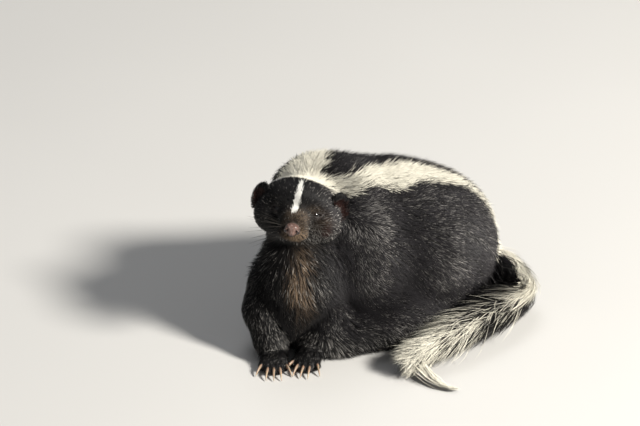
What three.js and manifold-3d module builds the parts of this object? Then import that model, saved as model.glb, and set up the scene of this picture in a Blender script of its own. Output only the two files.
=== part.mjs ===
import * as THREE from "three";
import Module from "manifold-3d";

// A striped skunk, life size, crouched on the floor with its head raised towards the viewer and
// its tail laid round its left side.
// Millimetres. +Z is up, the face and forefeet point along -Y, and the back runs towards +X.
const wasm = await Module();
wasm.setup();

// Driving sizes
const GAP = 0.3;
const FLOOR = 0;
const EYE_RADIUS = 4.4;
const NOSE_HALF = [6.4, 5.2, 5.4];
const CLAW_FRONT = 11;
const CLAW_HIND = 7;
const TAIL_BUSH = 22;
const BODY_LOCK = { length: 36, wide: 9, thick: 1.8, lift: 3, apart: 24 };
const TAIL_LOCK = { length: 50, wide: 8.5, thick: 1.5, rows: 10, around: 6 };

// Places of the main parts, on the floor plan and above it
const HEAD_AT = [4.6, 34, 126.4];
const HEAD_PITCH = 20;
const HEAD_ROLL = 8;
const HEAD_YAW = -7;

const radians = THREE.MathUtils.degToRad;
const vector = (p) => new THREE.Vector3(p[0], p[1], p[2]);
const triple = (v) => [v.x, v.y, v.z];

// Soft forms: each is a function of x, y, z that is negative inside, in millimetres
function lump(at, half, turn = 0) {
  const c = Math.cos(radians(turn));
  const s = Math.sin(radians(turn));
  return (x, y, z) => {
    const dx = x - at[0];
    const dy = y - at[1];
    const u = (dx * c + dy * s) / half[0];
    const v = (dy * c - dx * s) / half[1];
    const w = (z - at[2]) / half[2];
    const outer = Math.hypot(u, v, w);
    const slope = Math.hypot(u / half[0], v / half[1], w / half[2]);
    return slope < 1e-9 ? -Math.min(...half) : (outer * (outer - 1)) / slope;
  };
}

function limb(a, b, radiusA, radiusB) {
  const d = [b[0] - a[0], b[1] - a[1], b[2] - a[2]];
  const square = d[0] * d[0] + d[1] * d[1] + d[2] * d[2];
  return (x, y, z) => {
    const p = [x - a[0], y - a[1], z - a[2]];
    const along = (p[0] * d[0] + p[1] * d[1] + p[2] * d[2]) / square;
    const t = Math.min(1, Math.max(0, along));
    const far = Math.hypot(p[0] - t * d[0], p[1] - t * d[1], p[2] - t * d[2]);
    return far - radiusA - (radiusB - radiusA) * t;
  };
}

function melt(a, b, k) {
  const h = Math.max(k - Math.abs(a - b), 0) / k;
  return Math.min(a, b) - (h * h * k) / 4;
}

function melted(forms, k) {
  return (x, y, z) => forms.reduce((d, form) => melt(d, form(x, y, z), k), 1e3);
}

function slope(field, p) {
  const e = 0.4;
  const g = new THREE.Vector3(
    field(p.x + e, p.y, p.z) - field(p.x - e, p.y, p.z),
    field(p.x, p.y + e, p.z) - field(p.x, p.y - e, p.z),
    field(p.x, p.y, p.z + e) - field(p.x, p.y, p.z - e),
  );
  return g.divideScalar(2 * e);
}

// Moves a point onto the surface that lies a given height above a soft form.
function settle(field, p, height = 0) {
  const q = p.clone();
  for (let i = 0; i < 5; i += 1) {
    const g = slope(field, q);
    const off = field(q.x, q.y, q.z) - height;
    q.addScaledVector(g, -off / Math.max(g.lengthSq(), 0.05));
  }
  return q;
}

// Head: its own frame has the middle of the two eyes at 0, -Y ahead, +X to the animal's left.
const headFrame = new THREE.Matrix4()
  .makeTranslation(...HEAD_AT)
  .multiply(new THREE.Matrix4().makeRotationZ(radians(HEAD_YAW)))
  .multiply(new THREE.Matrix4().makeRotationY(radians(HEAD_ROLL)))
  .multiply(new THREE.Matrix4().makeRotationX(radians(-HEAD_PITCH)));
const headFrameBack = headFrame.clone().invert();
const both = [-1, 1];
const EYE_AT = [13.6, -3.5, 0];
const NOSE_AT = [0, -35.5, -8];
const EAR = { at: [30.5, 13, 5], half: [8, 4.6, 10], turn: 34 };

const HEAD_FORMS = [
  lump([0, 22, 1.5], [30.5, 35, 23.5]),
  lump([0, 4, 3], [19, 16, 15.5]),
  lump([0, -12, -4], [12, 21, 10.5]),
  lump([0, -27, -8], [7.5, 9, 7]),
  lump([0, -13, -14], [9.5, 17, 6.5]),
  lump([0, 16, -14], [24, 24, 13]),
  ...both.map((s) => lump([s * 20, 13, -7], [14, 19, 15])),
  ...both.map((s) => lump([s * 5.5, -24, -11.5], [6.5, 10, 5.5])),
  ...both.map((s) => lump([s * 11.5, 2, 8], [8, 8, 5])),
];
const headLocal = melted(HEAD_FORMS, 5);
const m = headFrameBack.elements;
function head(x, y, z) {
  return headLocal(
    m[0] * x + m[4] * y + m[8] * z + m[12],
    m[1] * x + m[5] * y + m[9] * z + m[13],
    m[2] * x + m[6] * y + m[10] * z + m[14],
  );
}
const fromHead = (p) => vector(p).applyMatrix4(headFrame);

// Body: lumps along the spine, from the neck to the root of the tail
const TRUNK_FORMS = [
  lump([126, 111, 56], [38, 46, 50], 10),
  lump([104, 102, 63], [48, 62, 61], 10),
  lump([78, 99, 72], [42, 54, 62], 15),
  lump([50, 87, 70], [42, 62, 71], 20),
  lump([24, 92, 72], [37, 54, 67], 25),
  lump([8, 50, 62], [38, 34, 46], 25),
  lump([66, 70, 22], [56, 48, 27], 20),
  lump([52, 50, 15], [34, 27, 19], 20),
  lump([84, 60, 26], [28, 26, 29], 15),
  lump([98, 136, 28], [30, 26, 28], 10),
  lump([2, 44, 26], [24, 22, 28], 10),
  lump([33, 31, 13], [17, 16, 17], 10),
];
const NECK_FORMS = [
  lump([14, 88, 100], [36, 38, 34], 25),
  limb([6, 68, 106], [20, 86, 94], 27, 34),
];
const trunk = melted(TRUNK_FORMS, 18);
const neck = melted(NECK_FORMS, 14);
function body(x, y, z) {
  return melt(melt(trunk(x, y, z), neck(x, y, z), 16), head(x, y, z), 8);
}

// Legs: shoulder or hip, elbow or knee, wrist or heel, and the foot's middle
const LEGS = {
  foreleg_right: {
    joints: [[-16, 50, 50], [-22, 39, 34], [-17, 24, 14], [-14, 19, 8]],
    radii: [20, 16, 12, 9],
    foot: [-14, 13, 0],
    heading: -90,
    front: true,
  },
  foreleg_left: {
    joints: [[26, 52, 48], [31, 41, 26], [21, 28, 13], [14, 22, 8]],
    radii: [18, 15, 12, 9],
    foot: [13, 16, 0],
    heading: -105,
    front: true,
  },
  hindleg_right: {
    joints: [[112, 138, 42], [78, 146, 26], [108, 152, 14], [92, 150, 9]],
    radii: [22, 17, 11, 9],
    foot: [82, 148, 0],
    heading: 190,
    front: false,
  },
  hindleg_left: {
    joints: [[112, 74, 40], [80, 52, 24], [110, 56, 14], [94, 48, 9]],
    radii: [22, 17, 11, 9],
    foot: [82, 46, 0],
    heading: 190,
    front: false,
  },
};

function legField(leg) {
  const bones = leg.joints.slice(1).map((joint, i) =>
    limb(leg.joints[i], joint, leg.radii[i], leg.radii[i + 1]),
  );
  return melted(bones, 8);
}

// Feet in their own frame: toes ahead along +X, the sole at height 0
const TOE_SPREAD = 13;
const FOOT = { palm: [11, 10.5, 7], length: 15, toe: 3.4 };

function toeLine(i, front) {
  const angle = radians((i - 2) * TOE_SPREAD);
  const reach = FOOT.length + (i === 0 || i === 4 ? -4.5 : 0) + (front ? 0 : 1);
  const from = [5 * Math.cos(angle), (i - 2) * 3.6, 5.5];
  const tip = [reach * Math.cos(angle), (i - 2) * 3.7 + 5 * Math.sin(angle), 3.2];
  return { angle, from, tip };
}

function footField(front) {
  const toes = [0, 1, 2, 3, 4].map((i) => {
    const { from, tip } = toeLine(i, front);
    return limb(from, tip, FOOT.toe + 0.5, FOOT.toe - 0.2);
  });
  return melted([lump([0, 0, 5], FOOT.palm), ...toes], 1.6);
}

// Corners of a unit cell, its edges and its faces with their corners in order
const CORNERS = [0, 1, 2, 3, 4, 5, 6, 7].map((c) => [c & 1, (c >> 1) & 1, c >> 2]);
const EDGES = CORNERS.flatMap((a, ia) =>
  [1, 2, 4].filter((bit) => !(ia & bit)).map((bit) => [ia, ia | bit]),
);
const SIDES = [[0, 1, 3, 2], [4, 5, 7, 6], [0, 1, 5, 4], [2, 3, 7, 6], [0, 2, 6, 4], [1, 3, 7, 5]];

// True where the corners on one side of the surface don't all join up along the cell's edges.
function parted(inside) {
  const crossed = SIDES.some((f) => {
    const [a, b, c, d] = f.map((v) => inside[v]);
    return a === c && b === d && a !== b;
  });
  const joined = (value) => {
    const start = inside.indexOf(value);
    if (start < 0) return true;
    const reached = new Set([start]);
    for (let i = 0; i < 4; i += 1) {
      EDGES.forEach(([p, q]) => {
        if (inside[p] === value && inside[q] === value && (reached.has(p) || reached.has(q))) {
          reached.add(p).add(q);
        }
      });
    }
    return reached.size === inside.filter((v) => v === value).length;
  };
  return crossed || !joined(true) || !joined(false);
}

// Skins a soft form: a net of one vertex in each cell that the surface crosses, drawn onto the surface.
function skinned(field, low, high, cell) {
  const n = [0, 1, 2].map((a) => Math.ceil((high[a] - low[a]) / cell) + 1);
  const at = (i, j, k) => i + n[0] * (j + n[1] * k);
  const everyCell = (first, act) => {
    for (let k = first; k < n[2] - 1; k += 1) {
      for (let j = first; j < n[1] - 1; j += 1) {
        for (let i = first; i < n[0] - 1; i += 1) act(i, j, k);
      }
    }
  };
  const depth = new Float32Array(n[0] * n[1] * n[2]).fill(cell / 2);
  everyCell(1, (i, j, k) => {
    depth[at(i, j, k)] = field(low[0] + i * cell, low[1] + j * cell, low[2] + k * cell);
  });

  // Fills corners where the net would touch itself
  let filled = true;
  while (filled) {
    filled = false;
    everyCell(1, (i, j, k) => {
      if (i > n[0] - 3 || j > n[1] - 3 || k > n[2] - 3) return;
      const places = CORNERS.map((c) => at(i + c[0], j + c[1], k + c[2]));
      const open = places.filter((c) => depth[c] >= 0);
      if (open.length === 0 || open.length === 8) return;
      if (!parted(places.map((c) => depth[c] < 0))) return;
      depth[open.reduce((a, b) => (depth[b] < depth[a] ? b : a))] = -0.05 * cell;
      filled = true;
    });
  }

  const places = [];
  const vertexOf = new Int32Array(depth.length).fill(-1);
  everyCell(0, (i, j, k) => {
    const d = CORNERS.map((c) => depth[at(i + c[0], j + c[1], k + c[2])]);
    const p = new THREE.Vector3();
    let crossed = 0;
    EDGES.forEach(([a, b]) => {
      if (d[a] < 0 === d[b] < 0) return;
      p.add(vector(CORNERS[a]).lerp(vector(CORNERS[b]), d[a] / (d[a] - d[b])));
      crossed += 1;
    });
    if (!crossed) return;
    p.divideScalar(crossed).add(vector([i, j, k])).multiplyScalar(cell).add(vector(low));
    if (i && j && k && i < n[0] - 2 && j < n[1] - 2 && k < n[2] - 2) {
      const q = settle(field, p);
      if (q.distanceTo(p) < cell * 0.5) p.copy(q);
    }
    vertexOf[at(i, j, k)] = places.length / 3;
    places.push(p.x, p.y, p.z);
  });

  const faces = [];
  const steps = [[1, 0, 0], [0, 1, 0], [0, 0, 1]];
  const between = (a, b) =>
    Math.hypot(...[0, 1, 2].map((c) => places[3 * a + c] - places[3 * b + c]));
  everyCell(0, (i, j, k) => {
    steps.forEach((s, axis) => {
      const inside = depth[at(i, j, k)] < 0;
      if (inside === depth[at(i + s[0], j + s[1], k + s[2])] < 0) return;
      const u = steps[(axis + 1) % 3];
      const v = steps[(axis + 2) % 3];
      const cellAt = (a, b) =>
        vertexOf[at(i - a * u[0] - b * v[0], j - a * u[1] - b * v[1], k - a * u[2] - b * v[2])];
      const ring = [cellAt(0, 0), cellAt(1, 0), cellAt(1, 1), cellAt(0, 1)];
      if (!inside) ring.reverse();
      const [a, b, c, d] = ring;
      if (between(a, c) < between(b, d)) faces.push(a, b, c, a, c, d);
      else faces.push(a, b, d, b, c, d);
    });
  });
  return solidOf(places, faces);
}

// Solids: closed meshes that can be joined and cut
function solidOf(places, faces) {
  return new wasm.Manifold(
    new wasm.Mesh({
      numProp: 3,
      vertProperties: new Float32Array(places),
      triVerts: new Uint32Array(faces),
    }),
  );
}

function largest(solid) {
  return solid.decompose().reduce((a, b) => (b.volume() > a.volume() ? b : a));
}

// Moves every corner of a smooth solid outwards, for cutting its neighbours clear of it.
function grown(solid, by = GAP * 1.4) {
  const made = solid.getMesh();
  const corner = (i) =>
    new THREE.Vector3(...made.vertProperties.subarray(i * made.numProp, i * made.numProp + 3));
  const points = Array.from({ length: made.numVert }, (_, i) => corner(i));
  const normals = points.map(() => new THREE.Vector3());
  for (let i = 0; i < made.triVerts.length; i += 3) {
    const [a, b, c] = made.triVerts.subarray(i, i + 3);
    const out = points[b].clone().sub(points[a]).cross(points[c].clone().sub(points[a]));
    [a, b, c].forEach((v) => normals[v].add(out));
  }
  const places = points.flatMap((p, i) => triple(p.addScaledVector(normals[i].normalize(), by)));
  return solidOf(places, [...made.triVerts]);
}

// Cuts away what lies behind a plane, given by a point and the direction that is kept.
function keepAhead(solid, point, ahead) {
  const normal = vector(ahead).normalize();
  return solid.trimByPlane(triple(normal), normal.dot(vector(point)) + GAP / 2);
}

// A bar of few sides along a line of points: pointed at the far end, and at the near end if asked.
// With three sides it is a blade, flat below and ridged above.
function bar({ points, across, wide, thick, sides = 4, pointed = false }) {
  const blade = [[1, 0], [0, 1.7], [-1, 0]];
  const round = (s) => [Math.cos((2 * Math.PI * s) / sides), Math.sin((2 * Math.PI * s) / sides)];
  const places = [];
  const faces = [];
  const last = points.length - 1;
  const first = pointed ? 1 : 0;
  const rings = [];
  if (pointed) places.push(...triple(points[0]));
  for (let i = first; i < last; i += 1) {
    const ahead = points[Math.min(i + 1, last)].clone().sub(points[Math.max(i - 1, 0)]).normalize();
    const side = across[i].clone().addScaledVector(ahead, -across[i].dot(ahead)).normalize();
    const up = ahead.clone().cross(side);
    rings.push(places.length / 3);
    for (let s = 0; s < sides; s += 1) {
      const [u, v] = sides === 3 ? blade[s] : round(s);
      const p = points[i].clone().addScaledVector(side, wide[i] * u).addScaledVector(up, thick[i] * v);
      places.push(...triple(p));
    }
  }
  const tip = places.length / 3;
  places.push(...triple(points[last]));
  rings.forEach((ring, r) => {
    for (let s = 0; s < sides; s += 1) {
      const a = ring + s;
      const b = ring + ((s + 1) % sides);
      if (r + 1 < rings.length) {
        const c = rings[r + 1] + ((s + 1) % sides);
        const d = rings[r + 1] + s;
        faces.push(a, b, c, a, c, d);
      } else faces.push(a, b, tip);
      if (r === 0 && pointed) faces.push(0, b, a);
      if (r === 0 && !pointed && s > 0 && s < sides - 1) faces.push(ring, b, a);
    }
  });
  const made = solidOf(places, faces);
  return made.volume() < 0 ? solidOf(places, faces.reverse()) : made;
}

function ball(at, half, around = 16, high = 12) {
  const g = new THREE.SphereGeometry(1, around, high);
  const matrix = new THREE.Matrix4().makeTranslation(...at).scale(vector(half));
  return fromGeometry(g.applyMatrix4(matrix));
}

function fromGeometry(geometry) {
  const p = geometry.getAttribute("position");
  const seen = new Map();
  const places = [];
  const index = [];
  for (let i = 0; i < p.count; i += 1) {
    const key = [p.getX(i), p.getY(i), p.getZ(i)].map((v) => Math.round(v * 1e4)).join();
    if (!seen.has(key)) {
      seen.set(key, places.length / 3);
      places.push(p.getX(i), p.getY(i), p.getZ(i));
    }
    index.push(seen.get(key));
  }
  const order = geometry.index ? [...geometry.index.array] : index.map((_, i) => i);
  const faces = [];
  for (let i = 0; i < order.length; i += 3) {
    const f = [index[order[i]], index[order[i + 1]], index[order[i + 2]]];
    if (f[0] !== f[1] && f[1] !== f[2] && f[0] !== f[2]) faces.push(...f);
  }
  return solidOf(places, faces);
}

const toWorld = (solid) => solid.transform([...headFrame.elements]);

// Planes where the head, neck and trunk part
const HEAD_CUT = [6, 64, 118];
const HEAD_CUT_AHEAD = [-0.45, -0.86, -0.25];
const NECK_CUT = [10, 45, 108];
const NECK_CUT_AHEAD = [-0.15, -0.3, 0.94];
const SHOULDER_CUT = [30, 84, 136];
const SHOULDER_CUT_AHEAD = [-0.85, -0.35, 0.4];

// Spine line through the middle of the trunk, which the coat's locks follow
const SPINE = new THREE.CatmullRomCurve3(
  [
    [8, 58, 98], [24, 76, 78], [50, 87, 72], [78, 98, 70],
    [104, 104, 64], [126, 111, 58], [150, 113, 54],
  ].map(vector),
);
const UP = new THREE.Vector3(0, 0, 1);

// White marks: bands sunk in the coat along lines on its surface
function band({ line, wide, deep, grown = 0, sides = 8 }) {
  const across = line.map((p, i) => {
    const ahead = line[Math.min(i + 1, line.length - 1)].clone().sub(line[Math.max(i - 1, 0)]);
    return ahead.cross(slope(body, p)).normalize();
  });
  const size = (v) => v + grown * 1.4;
  const shift = (p, i) => {
    if (!grown || (i > 0 && i < line.length - 1)) return p;
    const other = i ? line[i - 1] : line[1];
    return p.clone().add(p.clone().sub(other).setLength(grown * 4));
  };
  return bar({
    points: line.map(shift),
    across,
    wide: wide.map(size),
    thick: wide.map(() => size(deep)),
    sides,
    pointed: true,
  });
}

// The nape patch forks into two stripes that run over the back and down to the tail's root.
const onCoat = (p) => settle(body, vector(p));
const NAPE = {
  line: [[-6, 56, 143], [0, 64, 142], [8, 76, 140], [14, 88, 138], [18, 98, 136]].map(onCoat),
  wide: [22, 27, 25, 19, 8],
  deep: 14,
};
const STRIPE_LEFT = {
  line: [
    [20, 68, 134], [44, 72, 132], [68, 83, 131], [88, 92, 129], [104, 98, 127],
    [118, 104, 121], [132, 106, 113], [146, 104, 100], [155, 102, 84], [162, 105, 62],
  ].map(onCoat),
  wide: [8, 12, 14, 14, 13, 11, 9, 8, 8, 8],
  deep: 14,
};
const STRIPE_RIGHT = {
  line: [
    [8, 96, 132], [24, 114, 128], [44, 130, 119], [66, 141, 110], [86, 143, 108],
    [106, 141, 106], [124, 135, 102], [140, 127, 94], [151, 120, 82], [159, 117, 68],
  ].map(onCoat),
  wide: [8, 12, 14, 14, 13, 11, 9, 8, 8, 8],
  deep: 14,
};

// Seeded draws, so that every build makes the same coat
function dice(seed) {
  let state = seed;
  return () => {
    state = (state * 1664525 + 1013904223) % 4294967296;
    return state / 4294967296;
  };
}

// Points spread evenly over a soft form, seen from a few places inside it
function spread(field, centres, apart, keep) {
  const kept = [];
  centres.forEach((centre) => {
    for (let i = 0; i < 420; i += 1) {
      const z = 1 - (2 * i + 1) / 420;
      const turn = i * 2.39996;
      const r = Math.sqrt(1 - z * z);
      const out = vector([r * Math.cos(turn), r * Math.sin(turn), z]);
      const p = vector(centre).addScaledVector(out, 20);
      for (let k = 0; k < 40; k += 1) p.addScaledVector(out, -field(p.x, p.y, p.z));
      if (kept.every((q) => q.distanceTo(p) > apart) && keep(p)) kept.push(p);
    }
  });
  return kept;
}

// The way the coat lies at a point: rearwards along the spine, and down on the flanks and chest.
const SPINE_POINTS = SPINE.getSpacedPoints(40);
function lie(p) {
  const far = SPINE_POINTS.map((q) => q.distanceTo(p));
  const near = far.indexOf(Math.min(...far));
  const along = SPINE.getTangentAt(near / 40);
  const out = slope(body, p).normalize();
  along.z -= 0.75 * (1 - Math.abs(out.z));
  if (near < 4) along.add(vector([0.1, 0, -0.8]));
  return along.addScaledVector(out, -along.dot(out)).normalize();
}

// Tail: a core along a line that droops to the floor, inside a brush of hair
const TAIL_LINE = new THREE.CatmullRomCurve3(
  [
    [144, 112, 46], [163, 112, 36], [178, 103, 24], [183, 86, 19], [166, 64, 20],
    [141, 40, 20], [118, 20, 18], [104, 9, 16], [95, 3, 13],
  ].map(vector),
);
// The brush narrows where the tail bends, is widest past its middle and ends blunt.
const TAIL_SHAPE = [[0, 0.8], [0.2, 0.62], [0.36, 0.66], [0.6, 0.98], [0.82, 0.92], [1, 0.68], [1.2, 0.4]];
function tailBush(t) {
  const i = Math.max(1, TAIL_SHAPE.findIndex(([at]) => at > Math.min(t, 1.19)));
  const [[t0, r0], [t1, r1]] = [TAIL_SHAPE[i - 1], TAIL_SHAPE[i]];
  return TAIL_BUSH * (r0 + ((r1 - r0) * (t - t0)) / (t1 - t0));
}

const tailCore = (t) => 0.5 * tailBush(t) * Math.min(1, 1.5 * (1 - t) + 0.4);

const TAIL_FORMS = [];
const TAIL_BRUSH = [];
for (let i = 0; i < 12; i += 1) {
  const [t, u] = [(i * 0.9) / 12, ((i + 1) * 0.9) / 12];
  const ends = [t, u].map((v) => triple(TAIL_LINE.getPointAt(v)));
  TAIL_FORMS.push(limb(...ends, tailCore(t), tailCore(u)));
  TAIL_BRUSH.push(limb(...ends, tailBush(t), tailBush(u)));
}
const tail = melted(TAIL_FORMS, 3);
const brush = melted(TAIL_BRUSH, 3);
// The pale lock at the tail's tip, which curls back along the floor
const TIP_LOCK = [[96, 8, 12], [102, -6, 8], [112, -20, 5], [122, -26, 3.5], [130, -26, 2.5]].map(vector);
const TAIL_BOX = [[60, -20, 0], [200, 132, 74]];
const TAIL_SPANS = [["tail_base", 0, 0.34], ["tail_middle", 0.34, 0.67], ["tail_end", 0.67, 1]];
const TAIL_LENGTH = TAIL_LINE.getLength();

// One flat lock of hair, rooted in the coat and bending along its lie
function bodyLock(root, draw) {
  const { length, wide, thick, lift } = BODY_LOCK;
  const heights = [-7.5, lift - 6.5, lift - 3, lift];
  const stretch = 0.85 + 0.3 * draw();
  const sway = (draw() - 0.5) * 0.35;
  const points = [settle(body, root, heights[0])];
  const across = [];
  for (let i = 1; i < 4; i += 1) {
    const from = points[i - 1];
    const ahead = lie(from);
    const out = slope(body, from).normalize();
    const side = out.clone().cross(ahead);
    ahead.addScaledVector(side, sway).normalize();
    if (i === 1) across.push(side);
    const next = from.clone().addScaledVector(ahead, (length * stretch) / 3);
    const p = settle(body, next, heights[i]);
    p.z = Math.max(p.z, thick + 0.2);
    points.push(p);
    across.push(side);
  }
  const shape = [0.75, 1, 0.72];
  return { points, across, wide: shape.map((v) => v * wide), thick: [thick, thick, thick * 0.8], sides: 3 };
}

const group = new THREE.Group();
const nodes = {};

function add(name, solid, colour, roughness = 0.85) {
  nodes[name] = solid;
  const made = solid.getMesh();
  const places = new Float32Array(made.numVert * 3);
  for (let i = 0; i < made.numVert; i += 1) {
    places.set(made.vertProperties.subarray(i * made.numProp, i * made.numProp + 3), i * 3);
  }
  const geometry = new THREE.BufferGeometry()
    .setAttribute("position", new THREE.BufferAttribute(places, 3))
    .setIndex(new THREE.BufferAttribute(new Uint32Array(made.triVerts), 1));
  geometry.computeVertexNormals();
  const material = new THREE.MeshStandardMaterial({ color: colour, roughness, metalness: 0 });
  const mesh = new THREE.Mesh(geometry, material);
  mesh.name = name;
  group.add(mesh);
}

const BLACK = "#17161a";
const WHITE = "#e9e2cc";
const SKIN = "#8d6a5e";
const EYE = "#0c0908";

const HEAD_BOX = [[-46, -18, 88], [60, 84, 168]];
const BODY_BOX = [[-48, -4, -14], [182, 180, 158]];

// The solid coat is a core inside the locks' tips, sinking away behind the face.
const CORE_DEPTH = 4;
function core(x, y, z) {
  const ahead = [HEAD_CUT, NECK_CUT].map((at, i) => {
    const way = i ? NECK_CUT_AHEAD : HEAD_CUT_AHEAD;
    return way[0] * (x - at[0]) + way[1] * (y - at[1]) + way[2] * (z - at[2]);
  });
  const away = Math.min(1, Math.max(0, -Math.min(...ahead) / 22));
  return body(x, y, z) + CORE_DEPTH * away;
}

const skin = skinned(core, ...BODY_BOX, 12);
const wholeHead = skinned(body, ...HEAD_BOX, 4.8);
const headRoom = grown(wholeHead);

// Legs, each with its foot and claws
function claw(from, heading, length) {
  const points = [0, 0.5, 1].map((t) =>
    vector([
      from[0] + Math.cos(heading) * length * t,
      from[1] + Math.sin(heading) * length * t,
      from[2] + 1.2 * Math.sin(Math.PI * t) - 2.2 * t * t,
    ]),
  );
  const across = points.map(() => vector([-Math.sin(heading), Math.cos(heading), 0]));
  return bar({ points, across, wide: [1.4, 1.1], thick: [1.9, 1.4], sides: 4 });
}

function makeFoot(leg) {
  const length = leg.front ? CLAW_FRONT : CLAW_HIND;
  let foot = skinned(footField(leg.front), [-14, -16, -5], [23, 16, 16], 3.6);
  for (let i = 0; i < 5; i += 1) {
    const { angle, from, tip } = toeLine(i, leg.front);
    const heading = Math.atan2(tip[1] - from[1], tip[0] - from[0]);
    foot = foot.add(claw([tip[0] - 1, tip[1] - Math.sin(angle) * 1, 3.4], heading, length));
  }
  const place = new THREE.Matrix4()
    .makeTranslation(...leg.foot)
    .multiply(new THREE.Matrix4().makeRotationZ(radians(leg.heading)));
  return foot.trimByPlane([0, 0, 1], 0).transform([...place.elements]);
}

function wholeLeg(leg) {
  const low = [0, 1, 2].map((a) => Math.min(...leg.joints.map((j) => j[a])) - 30);
  const high = [0, 1, 2].map((a) => Math.max(...leg.joints.map((j) => j[a])) + 30);
  return skinned(legField(leg), low, high, 9).add(makeFoot(leg)).trimByPlane([0, 0, 1], FLOOR);
}
const legs = Object.fromEntries(Object.entries(LEGS).map(([name, leg]) => [name, wholeLeg(leg)]));

function makeLegs() {
  Object.entries(legs).forEach(([name, leg]) => {
    let solid = leg.subtract(coatRoom);
    if (name === "foreleg_left") solid = solid.subtract(grown(nodes.foreleg_right));
    add(name, largest(solid), BLACK);
  });
}

// True for a lock that keeps clear of the ears, the feet and the tail's brush.
function clearOfLimbs(lock) {
  return lock.points.every((p) => {
    const toEar = both.map((s) => p.distanceTo(fromHead([s * EAR.at[0], EAR.at[1], EAR.at[2]])));
    const toFoot = Object.values(LEGS).map((leg) => p.distanceTo(vector(leg.foot)));
    return brush(p.x, p.y, p.z) > 7 && Math.min(...toEar) > 19 && Math.min(...toFoot) > 30;
  });
}

function makeCoat() {
  const draw = dice(7);
  const behindHead = (p) => vector(HEAD_CUT_AHEAD).dot(p.clone().sub(vector(HEAD_CUT))) < -2;
  const belowNeck = (p) => vector(NECK_CUT_AHEAD).dot(p.clone().sub(vector(NECK_CUT))) < -2;
  const roots = spread(
    body,
    [[24, 70, 80], [78, 96, 64], [118, 106, 56]],
    BODY_LOCK.apart,
    (p) => p.z > 16 && (behindHead(p) || belowNeck(p)),
  );
  const locks = roots.map((p) => bodyLock(p, draw)).filter(clearOfLimbs).map(bar);
  const legRoom = wasm.Manifold.union(Object.values(legs).map((leg) => grown(leg, 0.7)));
  const loose = wasm.Manifold.union(locks).subtract(legRoom);
  return largest(skin.add(loose).trimByPlane([0, 0, 1], FLOOR));
}
const coat = makeCoat();
const coatRoom = grown(skin, 0.5);

// Head with eye sockets and lids, nose seat, mouth line and blaze
function gaze(side) {
  return vector([side * 0.66, -0.72, 0.2]).normalize();
}

function lidOpening(side) {
  const shape = new THREE.Shape();
  shape.moveTo(-4.3, 0);
  shape.quadraticCurveTo(0, 4.2, 4.3, 0);
  shape.quadraticCurveTo(0, -2.6, -4.3, 0);
  const g = new THREE.ExtrudeGeometry(shape, { depth: 14, bevelEnabled: false, curveSegments: 5 });
  const z = gaze(side);
  const x = UP.clone().cross(z).normalize();
  const turn = new THREE.Matrix4().makeBasis(x, z.clone().cross(x), z);
  const place = new THREE.Matrix4().makeTranslation(side * EYE_AT[0], EYE_AT[1], EYE_AT[2]).multiply(turn);
  return toWorld(fromGeometry(g.applyMatrix4(place)));
}

function eyeBall(side, grown) {
  const r = EYE_RADIUS + grown;
  return toWorld(ball([side * EYE_AT[0], EYE_AT[1], EYE_AT[2]], [r, r, r], 12, 8));
}

function noseForm(grown) {
  return toWorld(ball(NOSE_AT, NOSE_HALF.map((v) => v + grown), 14, 10));
}

function mouthGroove() {
  const line = [
    [17, 3, -13], [13, -12, -13.5], [9, -23, -14], [4, -31, -15], [0, -33, -14],
    [-4, -31, -15], [-9, -23, -14], [-13, -12, -13.5], [-17, 3, -13],
  ];
  const points = line.map((p) => settle(body, fromHead(p)));
  return bar({
    points,
    across: points.map((p) => slope(body, p)),
    wide: points.map(() => 2.2),
    thick: points.map(() => 0.7),
    pointed: true,
  });
}

const BLAZE = {
  line: [[-0.4, 9, 27], [-0.8, 1, 21], [-1, -7, 15], [-1.2, -14, 9], [-1.5, -21, 4], [-1.6, -25, 2]].map(
    (p) => settle(body, fromHead(p)),
  ),
  wide: [1, 2, 2.8, 3, 2.6, 1],
  deep: 2.6,
};

function makeHead() {
  let head = keepAhead(wholeHead, HEAD_CUT, HEAD_CUT_AHEAD);
  head = keepAhead(head, NECK_CUT, NECK_CUT_AHEAD);
  both.forEach((side) => {
    head = head.add(eyeBall(side, 1.6)).subtract(eyeBall(side, GAP)).subtract(lidOpening(side));
  });
  head = head.subtract(noseForm(GAP)).subtract(mouthGroove());
  add("blaze", largest(head.intersect(band(BLAZE))), WHITE);
  add("head", largest(head.subtract(band({ ...BLAZE, grown: GAP }))), BLACK);
}

function makeNose() {
  let nose = noseForm(0);
  const across = [UP, UP];
  both.forEach((side) => {
    const hole = [[side * 3, -43, -8.4], [side * 2.6, -39, -8.4]].map(fromHead);
    const slit = [[side * 4.6, -41, -8.6], [side * 5.8, -38, -8.8]].map(fromHead);
    nose = nose
      .subtract(bar({ points: hole, across, wide: [1.6], thick: [1.4], sides: 8 }))
      .subtract(bar({ points: slit, across, wide: [0.7], thick: [0.9] }));
  });
  add("nose", largest(nose), SKIN, 0.4);
}

function makeEyes() {
  add("eye_left", eyeBall(1, 0), EYE, 0.1);
  add("eye_right", eyeBall(-1, 0), EYE, 0.1);
}

function makeEars() {
  both.forEach((side) => {
    const [w, d, h] = EAR.half;
    const outer = ball([0, 0, 0], [w, d, h], 12, 8);
    const cup = ball([0, -d * 0.75, 0.5], [w * 0.74, d * 0.95, h * 0.76], 12, 8);
    const ear = outer.subtract(cup);
    const place = new THREE.Matrix4()
      .makeTranslation(side * EAR.at[0], EAR.at[1], EAR.at[2])
      .multiply(new THREE.Matrix4().makeRotationZ(radians(side * EAR.turn)));
    const placed = toWorld(ear.transform([...place.elements]));
    add(side > 0 ? "ear_left" : "ear_right", largest(placed.subtract(headRoom).subtract(coatRoom)), BLACK);
  });
}

const turned = (way) => way.map((v) => -v);

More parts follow.
